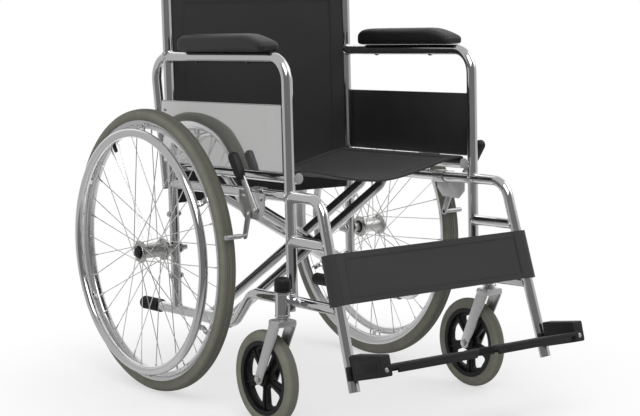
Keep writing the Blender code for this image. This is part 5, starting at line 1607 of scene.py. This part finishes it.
@dataclass(frozen=True)
class Brake(SidePart):
    """Bracket, hand lever and shoe of one brake, set as the photograph shows it."""

    plate_x: float = 0.264
    plate_y: Pair = (-0.373, -0.285)
    plate_z: Pair = (0.411, 0.466)
    plate_cut: float = 0.018
    slot: tuple[Pair, Pair] = ((-0.3075, 0.4535), (-0.2935, 0.4585))
    bolts: tuple[Pair, Pair] = ((-0.362, 0.4545), (-0.324, 0.4575))
    clamp_y: Pair = (-0.346, -0.312)
    lever_pivot: Pair = (-0.345, 0.430)
    shoe_pivot: Pair = (-0.322, 0.420)
    pin_radius: float = 0.004
    lever_x: float = 0.2677
    lever_length: float = 0.1335
    lever_half: float = 0.007
    thickness: float = 0.003
    grip_start: float = 0.073
    grip_half: float = 0.011
    grip_thickness: float = 0.018
    grip_ribs: int = 4
    open_lean: float = math.radians(34.5)
    locked_lean: float = math.radians(-33.5)
    open_swing: float = math.radians(-8)
    rod_z: float = 0.3765
    rod_radius: float = 0.005
    rod_rings: int = 10
    rod_end_x: float = 0.316
    tread_reach: float = 0.31147

    @property
    def locked(self) -> bool:
        """Whether this side's brake is on."""
        return self.side is Side.LEFT

    def build_bracket(self) -> None:
        """Builds the plate with its slot, the clamp round the rail, its bolts and the pins."""
        place = self.layout
        (low_y, high_y), (low_z, high_z), cut = self.plate_y, self.plate_z, self.plate_cut
        corners = [(low_y, low_z + cut), (low_y + cut, low_z), (high_y - cut, low_z), (high_y, low_z + cut),
                   (high_y, high_z), (low_y, high_z)]
        slot = oblong(*self.slot, 0.0024)
        plate = Shape.plate(rounded_outline(corners, 0.0045), self.thickness, 0.0005, [slot])
        piece = self.piece("brake_bracket_formed")
        piece.add(plate, STAMPED_STEEL, axes_at(self.beside(self.plate_x, 0, 0), Y_AXIS, Z_AXIS, X_AXIS))
        reach, mouth = self.plate_x - place.half_width, math.radians(48)
        outline = [(reach, 0.0105), *arc((0, 0), place.tube + 0.0026, mouth, 2 * math.pi - mouth, 22),
                   (reach, -0.0105), (reach, -0.0078),
                   *arc((0, 0), place.tube + 0.0003, 2 * math.pi - mouth, mouth, 22), (reach, 0.0078)]
        rail = self.on_frame(-self.clamp_y[0] - 0.017, place.upper_w)
        piece.add(Shape.plate(outline, self.clamp_y[1] - self.clamp_y[0], 0.0006), STAMPED_STEEL,
                  axes_at(rail, self.outboard, place.upward, self.outboard.cross(place.upward)))
        pin_length = self.lever_x + self.thickness / 2 + 0.0003 - self.plate_x
        pins = [self.beside(self.plate_x, *pivot) for pivot in (self.lever_pivot, self.shoe_pivot)]
        piece.add(Shape.rod(self.pin_radius, pin_length + 0.002), ZINC,
                  *(pointing(pin, self.outboard) for pin in pins))
        piece.add(bolt_head(0.0058, 0.0022), ZINC,
                  *(pointing(pin + self.outboard * pin_length, self.outboard) for pin in pins))
        heads = [self.beside(self.plate_x + 0.0012, *bolt) for bolt in self.bolts]
        piece.add(bolt_head(0.0046, 0.0030), ZINC, *(pointing(head, self.outboard, 0.3) for head in heads))
        self.mount(piece, "frame", "brake_bracket")

    def build_lever(self) -> None:
        """Builds the hand lever, pressed from strip, with a moulded grip."""
        lean = self.locked_lean if self.locked else self.open_lean
        plane = (Matrix.Translation(self.beside(self.lever_x, *self.lever_pivot))
                 @ Matrix.Rotation(-lean, 4, "X") @ axes_at(Vector(), Y_AXIS, Z_AXIS, X_AXIS))
        half, wide, start, thick = self.lever_half, self.grip_half, self.grip_start, self.grip_thickness
        blade = arc((0, 0), half + 0.002, math.pi - 0.3, 2 * math.pi + 0.3, 14)
        blade += [(half, start + 0.02), (-half, start + 0.02)]
        neck = [(wide, self.lever_length - 0.045), (half + 0.0012, start + 0.004), (half - 0.001, start)]
        outline = arc((0, self.lever_length - wide), wide, 0, math.pi, 12)
        outline += [(-x, y) for x, y in neck] + neck[::-1]
        piece = self.piece("brake_lever_formed")
        grip = plane @ shift(0, 0, self.sign * 0.0035)
        piece.add(Shape.plate(outline, thick, 0.0062, segments=6), BLACK_PLASTIC, grip)
        piece.add(Shape.plate(blade, self.thickness, 0.0005, [circle(self.pin_radius + 0.0003, 20)]),
                  STAMPED_STEEL, plane)
        rib = Shape.block((-0.0052, -0.0011, -thick / 2 - 0.0004),
                          (0.0052, 0.0011, thick / 2 + 0.0004), 0.0005, 2)
        piece.add(rib, BLACK_PLASTIC,
                  *(grip @ shift(0, start + 0.019 + 0.0072 * i, 0) for i in range(self.grip_ribs)))
        self.mount(piece, "brake_lever", "brake_lever")

    def build_shoe(self) -> None:
        """Builds the shoe arm and the knurled rod that presses on the tyre."""
        pivot = self.beside(self.lever_x, *self.shoe_pivot)
        rod_y = -math.sqrt(self.tread_reach ** 2 - (self.rod_z - self.layout.axle_z) ** 2)
        rod = self.beside(self.lever_x, rod_y, self.rod_z)
        swing = Matrix.Rotation(0.0 if self.locked else self.open_swing, 4, "X")
        turn = Matrix.Translation(pivot) @ swing @ Matrix.Translation(-pivot)
        along, length = (rod - pivot).normalized(), (rod - pivot).length
        outline = (arc((0, 0), 0.008, math.pi / 2, 3 * math.pi / 2, 12)
                   + arc((length, 0), 0.007, -math.pi / 2, math.pi / 2, 12))
        piece = self.piece("brake_shoe_formed")
        piece.add(Shape.plate(outline, self.thickness, 0.0005, [circle(self.pin_radius + 0.0003, 20)]),
                  STAMPED_STEEL, turn @ axes_at(pivot, along, along.cross(X_AXIS), -X_AXIS))
        reach, radius = self.rod_end_x - self.lever_x + self.thickness / 2, self.rod_radius
        profile = [(0, 0), (radius - 0.0012, 0), (radius - 0.0012, 0.010)]
        for at in (0.012 + 0.0034 * i for i in range(self.rod_rings)):
            profile += [(radius - 0.0006, at), (radius, at + 0.0007), (radius, at + 0.0017),
                        (radius - 0.0006, at + 0.0024)]
        profile += [(radius, reach - 0.001), (radius - 0.001, reach), (0, reach)]
        piece.add(Shape.turned(profile, 24), STAMPED_STEEL,
                  turn @ pointing(rod - self.outboard * self.thickness / 2, self.outboard))
        self.mount(piece, "brake_shoe", "brake_shoe")

    def build(self) -> None:
        """Builds the brake."""
        self.build_bracket()
        self.build_lever()
        self.build_shoe()


@dataclass(frozen=True)
class Footplate(SidePart):
    """Moulded footplate with its cheek, and the hinge block that it turns on."""

    thickness: float = 0.019
    deck: float = 0.0088
    depth: float = 0.1015
    inner_x: float = 0.018
    top_ribs: int = 8
    under_ribs: int = 4
    cheek_depth: float = 0.098
    cheek_start: float = 0.008
    cheek_half: float = 0.013
    cheek_bottom: float = -0.012
    cheek_top: Pair = (0.0385, 0.029)
    axis_x: float = 0.250

    def hinge_point(self, t: float) -> Vector:
        """Point on the hinge's line, at distance t along the plate's slope."""
        return self.layout.on_plate(self.sign * self.axis_x, t, 0)

    def build_hinge(self) -> None:
        """Builds the clamp block on the footrest tube, with the hinge pin."""
        place = self.layout
        piece = self.piece("footplate_hinge_block")
        piece.add(Shape.block((-0.013, -0.0125, -0.011), (0.013, -0.0004, 0.017), 0.0022), BLACK_PLASTIC,
                  axes_at(self.hinge_point(0), X_AXIS, place.slope, place.slope_up))
        piece.add(Shape.rod(0.004, self.cheek_depth + 0.002, edge=0.0006), ZINC,
                  pointing(self.hinge_point(-0.002), place.slope))
        self.mount(piece, "frame", "footplate_hinge")

    def add_plate(self, piece: Piece) -> None:
        """Adds the deck, its front and inner skirt, the grip ribs above and the ribs below.

        Args:
            piece: The footplate.
        """
        place = self.layout
        width, half, depth = self.axis_x - self.inner_x, self.thickness / 2, self.depth
        cheek = 2 * self.cheek_half
        plane = axes_at(self.hinge_point(0), -self.outboard, place.slope, place.slope_up)
        piece.add(Shape.plate(oblong((0, 0.0005), (width, depth), 0.010), self.deck, 0.0026, segments=4),
                  PLATE_PLASTIC, plane @ shift(0, 0, half - 0.0004 - self.deck / 2))
        for low, high in (((cheek, depth - 0.0064, -0.0080), (width - 0.0095, depth - 0.0006, 0.0050)),
                          ((width - 0.0064, 0.0100, -0.0060), (width - 0.0006, depth - 0.0095, 0.0050))):
            piece.add(Shape.block(low, high, 0.0022), PLATE_PLASTIC, plane)
        bar = Shape.block((cheek + 0.006, -0.0019, -0.0010), (width - 0.014, 0.0019, 0.0011), 0.0008, 2)
        piece.add(bar, PLATE_PLASTIC,
                  *(plane @ shift(0, 0.014 + 0.0105 * i, half - 0.0012) for i in range(self.top_ribs)))
        below = Shape.block((cheek - 0.002, -0.0014, -0.0040), (width - 0.004, 0.0014, 0.0040), 0.0005, 2)
        piece.add(below, PLATE_PLASTIC,
                  *(plane @ shift(0, 0.018 + 0.020 * i, 0) for i in range(self.under_ribs)))

    def add_cheek(self, piece: Piece) -> None:
        """Adds the cheek beside the tube, the pocket in its outer face and the pin's head.

        Args:
            piece: The footplate.
        """
        place = self.layout
        low, (back, front), start, end = self.cheek_bottom, self.cheek_top, self.cheek_start, self.cheek_depth
        plane = axes_at(self.hinge_point(0), place.slope, place.slope_up, X_AXIS)
        outline = rounded_outline([(start, low), (end, low), (end, front), (start, back)], 0.004)
        piece.add(Shape.plate(outline, 2 * self.cheek_half, 0.0024, segments=4), PLATE_PLASTIC, plane)
        pocket = rounded_outline([(start + 0.012, low + 0.010), (end - 0.012, low + 0.010),
                                  (end - 0.012, front - 0.009), (start + 0.012, back - 0.010)], 0.004, 4)
        piece.add(Shape.plate(pocket, 0.0012, 0.0004), BLACK_PLASTIC,
                  plane @ shift(0, 0, self.sign * (self.cheek_half - 0.0001)))
        piece.add(round_head(0.0058, 0.0018), ZINC, pointing(self.hinge_point(end - 0.001), place.slope))

    def build(self) -> None:
        """Builds the hinge, and the footplate with its cheek."""
        self.build_hinge()
        piece = self.piece("footplate_moulded")
        self.add_plate(piece)
        self.add_cheek(piece)
        self.mount(piece, "footplate", "footplate")


# Cross brace


@dataclass(frozen=True)
class CrossBrace:
    """The two crossed members, and the bolt through their middle."""

    layout: Layout
    pivot_w: float = 0.010
    places_u: Pair = (0.125, 0.194)
    setback: float = 0.025
    knee_x: float = 0.1765
    knee_radius: float = 0.030
    sleeve_wall: float = 0.0035

    def build_member(self, node: str, sign: int, places: Pair) -> None:
        """Builds one member: two tubes, the sleeve round the lower rail, and its welds.

        Args:
            node: The member's node and body.
            sign: -1 or 1 for a member that rises to the right or to the left.
            places: How far forward its two tubes lie.
        """
        place = self.layout
        tube, foot_x = place.tube, -sign * place.half_width
        knee_w = self.pivot_w + self.knee_x * (self.pivot_w - place.lower_w) / place.half_width
        piece = Piece(f"{node}_chromed")
        for u in places:
            foot = place.at(foot_x, u, place.lower_w)
            top = place.at(sign * place.seat_rail_x, u, place.seat_w)
            path = rounded_path([foot, place.at(sign * self.knee_x, u, knee_w), top], (self.knee_radius,))
            piece.add(Shape.swept(path, tube), CHROME)
            piece.add(weld_bead(top, (path[-2] - path[-1]).normalized(), place.forward, tube), WELD_METAL)
            rising = (path[1] - path[0]).normalized()
            piece.add(weld_bead(foot, rising, place.forward, tube), WELD_METAL,
                      Matrix.Translation(rising * (self.sleeve_wall + 0.0006)))
        bore, margin = tube + 0.0003, tube + 0.0012
        outer, length = bore + self.sleeve_wall, places[1] - places[0] + 2 * margin
        sleeve = [(bore, 0), (outer - 0.0008, 0), (outer, 0.0008), (outer, length - 0.0008),
                  (outer - 0.0008, length), (bore, length)]
        piece.add(Shape.turned(sleeve, 36, closed=True), CHROME,
                  pointing(place.at(foot_x, places[0] - margin, place.lower_w), place.forward))
        piece.mount(node, node)

    def build_bolt(self, rear_u: float, front_u: float) -> None:
        """Builds the bolt, with its hexagon head behind and a square black cap in front.

        Args:
            rear_u: How far forward the rearmost tube lies.
            front_u: How far forward the foremost tube lies.
        """
        place = self.layout
        head_u, cap_u = rear_u - place.tube, front_u + place.tube
        piece = Piece("cross_pivot_bolt_capped")
        piece.add(Shape.block((-0.010, 0.0003, -0.010), (0.010, 0.0180, 0.010), 0.0022), BLACK_PLASTIC,
                  axes_at(place.at(0, cap_u, self.pivot_w), X_AXIS, place.forward, place.upward))
        piece.add(Shape.rod(0.005, cap_u - head_u + 0.004), ZINC,
                  pointing(place.at(0, head_u - 0.001, self.pivot_w), place.forward))
        piece.add(bolt_head(0.0078, 0.0042), ZINC,
                  pointing(place.at(0, head_u + 0.0004, self.pivot_w), -place.forward))
        piece.mount("cross_a", "cross_pivot_bolt")

    def build(self) -> None:
        """Builds both members and the bolt."""
        behind = (self.places_u[0] - self.setback, self.places_u[1] - self.setback)
        self.build_member("cross_a", 1, self.places_u)
        self.build_member("cross_b", -1, behind)
        self.build_bolt(behind[0], self.places_u[1])


# Upholstery


@dataclass(frozen=True)
class Upholstery:
    """Seat sling, back sling and calf strap."""

    layout: Layout
    seat_half: float = 0.2215
    seat_u: Pair = (0.024, 0.424)
    seat_sag: float = 0.034
    sag_stretch: float = 1.22
    seat_thickness: float = 0.0038
    back_half: float = 0.2284
    back_w: Pair = (0.098, 0.556)
    back_u: float = 0.002
    back_sag: float = 0.012
    back_thickness: float = 0.0050
    back_keep: float = 0.223
    strap_w: Pair = (-0.058, 0.0375)
    strap_radius: float = 0.0156
    strap_thickness: float = 0.004
    strap_hook: float = math.radians(120)
    strap_keep: float = 0.268
    loop_slack: float = 1.2

    def seat_point(self, across: float, along: float, lift: float) -> Vector:
        """Place on the seat's upper face.

        Args:
            across: Share across the seat, from right to left.
            along: Share forward.
            lift: Height above the face.

        Returns:
            The place.
        """
        place = self.layout
        x = (2 * across - 1) * self.seat_half
        u = self.seat_u[0] + (self.seat_u[1] - self.seat_u[0]) * along
        span = min(1.0, abs(x) / place.seat_rail_x)
        edge = place.seat_w + place.tube + 0.0003 + 0.004
        over = max(0.0, abs(x) - place.seat_rail_x) / (self.seat_half - place.seat_rail_x)
        crease = 0.0005 * math.sin(21 * along + 2.0 * math.sin(9 * across)) * (1 - span ** 4)
        ripple = 0.0009 * math.cos(3 * math.pi * span) * math.sin(math.pi * along) * (1 - span)
        w = edge - self.seat_sag * (1 - span ** 2) ** 2 + crease + ripple - 0.0018 * over ** 2 + lift
        return place.at(x, u, w)

    def back_point(self, across: float, rise: float, lift: float) -> Vector:
        """Place on the back's front face.

        Args:
            across: Share across the back, from right to left.
            rise: Share upward.
            lift: Distance in front of the face.

        Returns:
            The place.
        """
        span = 2 * across - 1
        low, high = self.back_w
        crease = 0.0007 * math.sin(17 * rise + 1.5 * math.sin(8 * across)) * (1 - span ** 4)
        pull = 0.0010 * math.sin(2 * math.pi * 3 * rise) * span ** 6
        u = self.back_u + 0.0025 - self.back_sag * (1 - span ** 2) + crease + pull + lift
        return self.layout.at(span * self.back_half, u, low + (high - low) * rise)

    def strap_centre(self, sign: int, rise: float) -> Vector:
        """Point on the footrest tube's centre line, for a share up the strap."""
        return self.layout.footrest(sign, self.strap_w[0] + (self.strap_w[1] - self.strap_w[0]) * rise)

    @property
    def strap_ahead(self) -> Vector:
        """Direction out of the strap's band, square to the footrest tubes."""
        up = self.strap_centre(1, 1) - self.strap_centre(1, 0)
        return X_AXIS.cross(Vector((0, up.y, up.z))).normalized()

    def band_point(self, across: float, rise: float, lift: float) -> Vector:
        """Place on the strap's band between the tubes.

        Args:
            across: Share across the chair, from right to left.
            rise: Share upward.
            lift: Distance in front of the band.

        Returns:
            The place.
        """
        right, left = self.strap_centre(-1, rise), self.strap_centre(1, rise)
        slack = math.sin(math.pi * across)
        ease = 0.0011 * slack * math.sin(5.0 * rise + 3.0 * across) - 0.0020 * slack
        return right.lerp(left, across) + self.strap_ahead * (self.strap_radius + lift + ease)

    def loop_point(self, sign: int, turn: float, rise: float, lift: float) -> Vector:
        """Place on the strap's loop round one tube.

        Args:
            sign: -1 for the right tube, 1 for the left one.
            turn: Share of the loop's turn round it.
            rise: Share upward.
            lift: Distance off the loop.

        Returns:
            The place.
        """
        angle = self.strap_hook * turn
        outward = self.strap_ahead * math.cos(angle) + X_AXIS * sign * math.sin(angle) * self.loop_slack
        return self.strap_centre(sign, rise) + outward * (self.strap_radius + lift)

    def sewn(self, surface: Surface, start: Pair, end: Pair, lift: float, outward: Vector) -> list[Matrix]:
        """Places of the stitches along a straight seam on a cloth's surface.

        Args:
            surface: The cloth's surface.
            start: The seam's start, as two shares.
            end: Its end.
            lift: Its height above the surface.
            outward: Direction out of the cloth.

        Returns:
            One matrix for each stitch.
        """
        shares = [(start[0] + (end[0] - start[0]) * i / 24, start[1] + (end[1] - start[1]) * i / 24)
                  for i in range(25)]
        return stitches([surface(*share, lift) for share in shares], outward)

    def hemmed(self, piece: Piece, surface: Surface, finish: Finish, outward: Vector, cells: tuple[int, int],
               thickness: float, ends: float, sides: float) -> None:
        """Adds a cloth with hems at its ends and sides, and the seams that hold them.

        Args:
            piece: The piece that they go to.
            surface: The cloth's outer face.
            finish: The cloth's finish.
            outward: Direction out of that face.
            cells: How many cells the cloth has across and along.
            thickness: Its whole thickness, hems included.
            ends: Share of its length that each end hem takes.
            sides: Share of its width that each side hem takes.
        """
        hem = thickness * 0.24
        piece.add(Shape.sheet(surface, cells, thickness - hem * 0.7, outward, lift=-hem * 0.7), finish)
        seams: list[Matrix] = []
        for low, high, line in ((0.0, ends, ends * 0.86), (1 - ends, 1.0, 1 - ends * 0.86)):
            piece.add(Shape.sheet(surface, (cells[0], 4), hem, outward, along=(low, high)), finish)
            seams += self.sewn(surface, (sides * 1.1, line), (1 - sides * 1.1, line), 0.0002, outward)
        for low, high, line in ((0.0, sides, sides * 0.88), (1 - sides, 1.0, 1 - sides * 0.88)):
            piece.add(Shape.sheet(surface, (6, cells[1]), hem, outward, (low, high), (0.006, 0.994), 0.0005),
                      finish)
            seams += self.sewn(surface, (line, 0.012), (line, 0.988), 0.0007, outward)
        piece.add(Shape.rod(0.00045, 0.0031, 6, 0.0002).placed(shift(0, 0, -0.0015)), THREAD, *seams)

    def build_seat(self) -> None:
        """Builds the seat sling."""
        place = self.layout
        piece = Piece("seat_sling")
        self.hemmed(piece, self.seat_point, SEAT_CLOTH, place.upward, (72, 60), self.seat_thickness,
                    0.062, 0.080)
        ends = [place.at(sign * place.seat_rail_x, 0.2, place.seat_w) for sign in (1, -1)]
        seat = piece.mount_between("seat")
        across = 2 * self.seat_half + self.sag_stretch * self.seat_sag ** 2 / place.seat_rail_x
        self.seat_u[1] - self.seat_u[0]

    def build_back(self) -> None:
        """Builds the back sling."""
        place = self.layout
        piece = Piece("back_sling")
        self.hemmed(piece, self.back_point, BACK_CLOTH, place.forward, (72, 60), self.back_thickness,
                    0.066, 0.072)
        anchor = place.at(-self.back_half, 0, self.back_w[0])
        back = piece.mount_narrowing("right_frame", anchor, self.back_keep, "back")
        2 * self.back_half
        self.back_w[1] - self.back_w[0]

    def build_strap(self) -> None:
        """Builds the calf strap: its band and its two loops."""
        ahead, thickness = self.strap_ahead, self.strap_thickness
        piece = Piece("calf_strap_band")
        self.hemmed(piece, self.band_point, WEBBING, ahead, (48, 14), thickness, 0.13, 0.05)
        band = piece.mount_narrowing("right_frame", self.strap_centre(-1, 0.5), self.strap_keep,
                                     "calf_strap")
        height = (self.strap_centre(1, 1) - self.strap_centre(1, 0)).length
        2 * self.strap_centre(1, 0.5).x
        for side in Side:
            loop = Piece(f"calf_strap_{side.label}_loop")
            surface = partial(self.loop_point, side.value)
            loop.add(Shape.sheet(surface, (14, 8), thickness, ahead), WEBBING)
            loop.mount(f"{side.label}_frame")

    def build(self) -> None:
        """Builds all the upholstery."""
        self.build_seat()
        self.build_back()
        self.build_strap()


# Studio


@dataclass(frozen=True)
class Lamp:
    """A soft area lamp aimed at the chair."""

    name: str
    place: Triple
    size: float
    power: float


@dataclass(frozen=True)
class Studio:
    """Pale floor, white surroundings, soft lamps and the camera."""

    lamps: tuple[Lamp, ...] = (Lamp("key", (-1.6, -2.2, 3.4), 2.6, 62.0),
                               Lamp("fill", (2.6, -1.2, 2.8), 2.6, 30.0))
    aim: Triple = (0.0, 0.0, 0.5)
    floor_size: float = 80.0
    floor_colour: Triple = (0.90, 0.90, 0.90)
    white_from: Pair = (0.40, 0.95)
    haze: float = 0.56
    soft_light: float = 0.70
    bright: float = 0.95
    middle: float = 0.50
    dim: float = 0.17
    dim_azimuth: float = math.radians(36.8)
    bright_until: Pair = (-0.84, -0.56)
    dim_from: Pair = (0.36, 0.54)
    ceiling_from: Pair = (0.55, 0.80)
    camera_place: Triple = (-2.220, -2.9444, 0.931)
    camera_tilt: Triple = (math.radians(79.70), 0.0, math.radians(-36.845))
    sensor_width: float = 36.0
    lens: float = 97.61
    raised: float = 0.098

    def link(self, name: str, data: bpy.types.ID) -> bpy.types.Object:
        """Makes an object of the studio and links it to the scene.

        Args:
            name: The object's name.
            data: Its mesh, light or camera.

        Returns:
            The object.
        """
        thing = bpy.data.objects.new(name, data)
        bpy.context.scene.collection.objects.link(thing)
        return thing

    def glow(self, graph: Graph, x: Value, y: Value) -> Value:
        """How bright the studio is in reflections, for a direction or a place seen from its middle.

        Args:
            graph: The nodes that it is worked out in.
            x: The direction's part along X.
            y: The direction's part along Y.

        Returns:
            Its level: bright on one side of the studio, dim on the other.
        """
        flat = graph.math("SQRT", x * x + y * y)
        facing = (x * -math.sin(self.dim_azimuth) + y * -math.cos(self.dim_azimuth)) / (flat + 0.001)
        return (graph.step(facing, *self.bright_until, self.bright, self.middle)
                + graph.step(facing, *self.dim_from, 0.0, self.dim - self.middle))

    def build_floor(self) -> None:
        """Builds the floor, which keeps the chair's shadow and goes over into plain white."""
        mesh = bmesh.new()
        bmesh.ops.create_grid(mesh, x_segments=1, y_segments=1, size=self.floor_size / 2)
        data = bpy.data.meshes.new("floor")
        mesh.to_mesh(data)
        mesh.free()
        data.materials.append(self.floor_material())
        self.link("floor", data)

    def floor_material(self) -> bpy.types.Material:
        """Matte near the chair, and evenly white for the camera and in reflections farther off.

        Returns:
            The material.
        """
        made = bpy.data.materials.new("floor")
        made.use_nodes = True
        graph = Graph(made.node_tree)
        x, y = graph.values("SeparateXYZ", (0, 1), Vector=graph.place())
        camera, glossy, through = graph.rays()
        seen = graph.highest(camera, glossy, through)
        matte = graph.value("BsdfDiffuse", {"Color": self.floor_colour, "Roughness": 0.0})
        colour = graph.mix(graph.highest(camera, self.glow(graph, x, y)), (0.0, 0.0, 0.0), (1.0, 1.0, 1.0))
        white = graph.value("Emission", {"Color": colour, "Strength": 1.0})
        distance = graph.math("SQRT", x * x + y * y)
        share = graph.step(distance, *self.white_from, self.haze, 1.0) * seen
        graph.node("OutputMaterial", {"Surface": graph.value("MixShader", {0: share, 1: matte, 2: white})})
        return made

    def build_world(self) -> None:
        """White for the camera; in reflections bright on one side, and dimmer on the other."""
        world = bpy.data.worlds.new("studio")
        bpy.context.scene.world = world
        world.use_nodes = True
        graph = Graph(world.node_tree)
        direction = graph.value("TexCoord", {}, "Generated")
        x, y, z = graph.values("SeparateXYZ", (0, 1, 2), Vector=direction)
        overhead = graph.step(z, *self.ceiling_from)
        around = self.glow(graph, x, y) * (1.0 - overhead) + overhead * self.middle
        camera, glossy, through = graph.rays()
        mirrored_ray = graph.highest(glossy, through)
        level = mirrored_ray * around + (1.0 - mirrored_ray) * self.soft_light
        strength = camera + (1.0 - camera) * level
        shown = graph.value("Background", {"Color": (1.0, 1.0, 1.0), "Strength": strength})
        graph.node("OutputWorld", {"Surface": shown})

    def build_lamps(self) -> None:
        """Builds the lamps, which the camera doesn't see."""
        for lamp in self.lamps:
            light = bpy.data.lights.new(lamp.name, "AREA")
            light.size, light.energy = lamp.size, lamp.power
            thing = self.link(lamp.name, light)
            thing.matrix_world = pointing(Vector(lamp.place), Vector(lamp.place) - Vector(self.aim))
            thing.visible_camera = False

    def build_camera(self) -> None:
        """Builds the camera at the photograph's viewpoint."""
        camera = bpy.data.cameras.new("camera")
        camera.sensor_fit = "HORIZONTAL"
        camera.sensor_width, camera.lens, camera.shift_y = self.sensor_width, self.lens, self.raised
        thing = self.link("camera", camera)
        thing.location, thing.rotation_euler = self.camera_place, self.camera_tilt
        bpy.context.scene.camera = thing

    def build(self) -> None:
        """Builds the studio."""
        self.build_floor()
        self.build_world()
        self.build_lamps()
        self.build_camera()
        bpy.context.scene.view_settings.view_transform = "Standard"


def main() -> None:
    """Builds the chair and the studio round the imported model."""
    logging.basicConfig(level=logging.INFO, format="%(name)s: %(message)s")
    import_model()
    layout = Layout.from_model()
    for side in Side:
        frame = SideFrame(layout, side)
        frame.build()
        frame.build_seat_rail("cross_a" if side is Side.LEFT else "cross_b")
        for kind in (SideTrim, ArmPad, RearWheel, Caster, Brake, Footplate):
            kind(layout, side).build()
    CrossBrace(layout).build()
    Upholstery(layout).build()
    Studio().build()


if __name__ == "__main__":
    main()
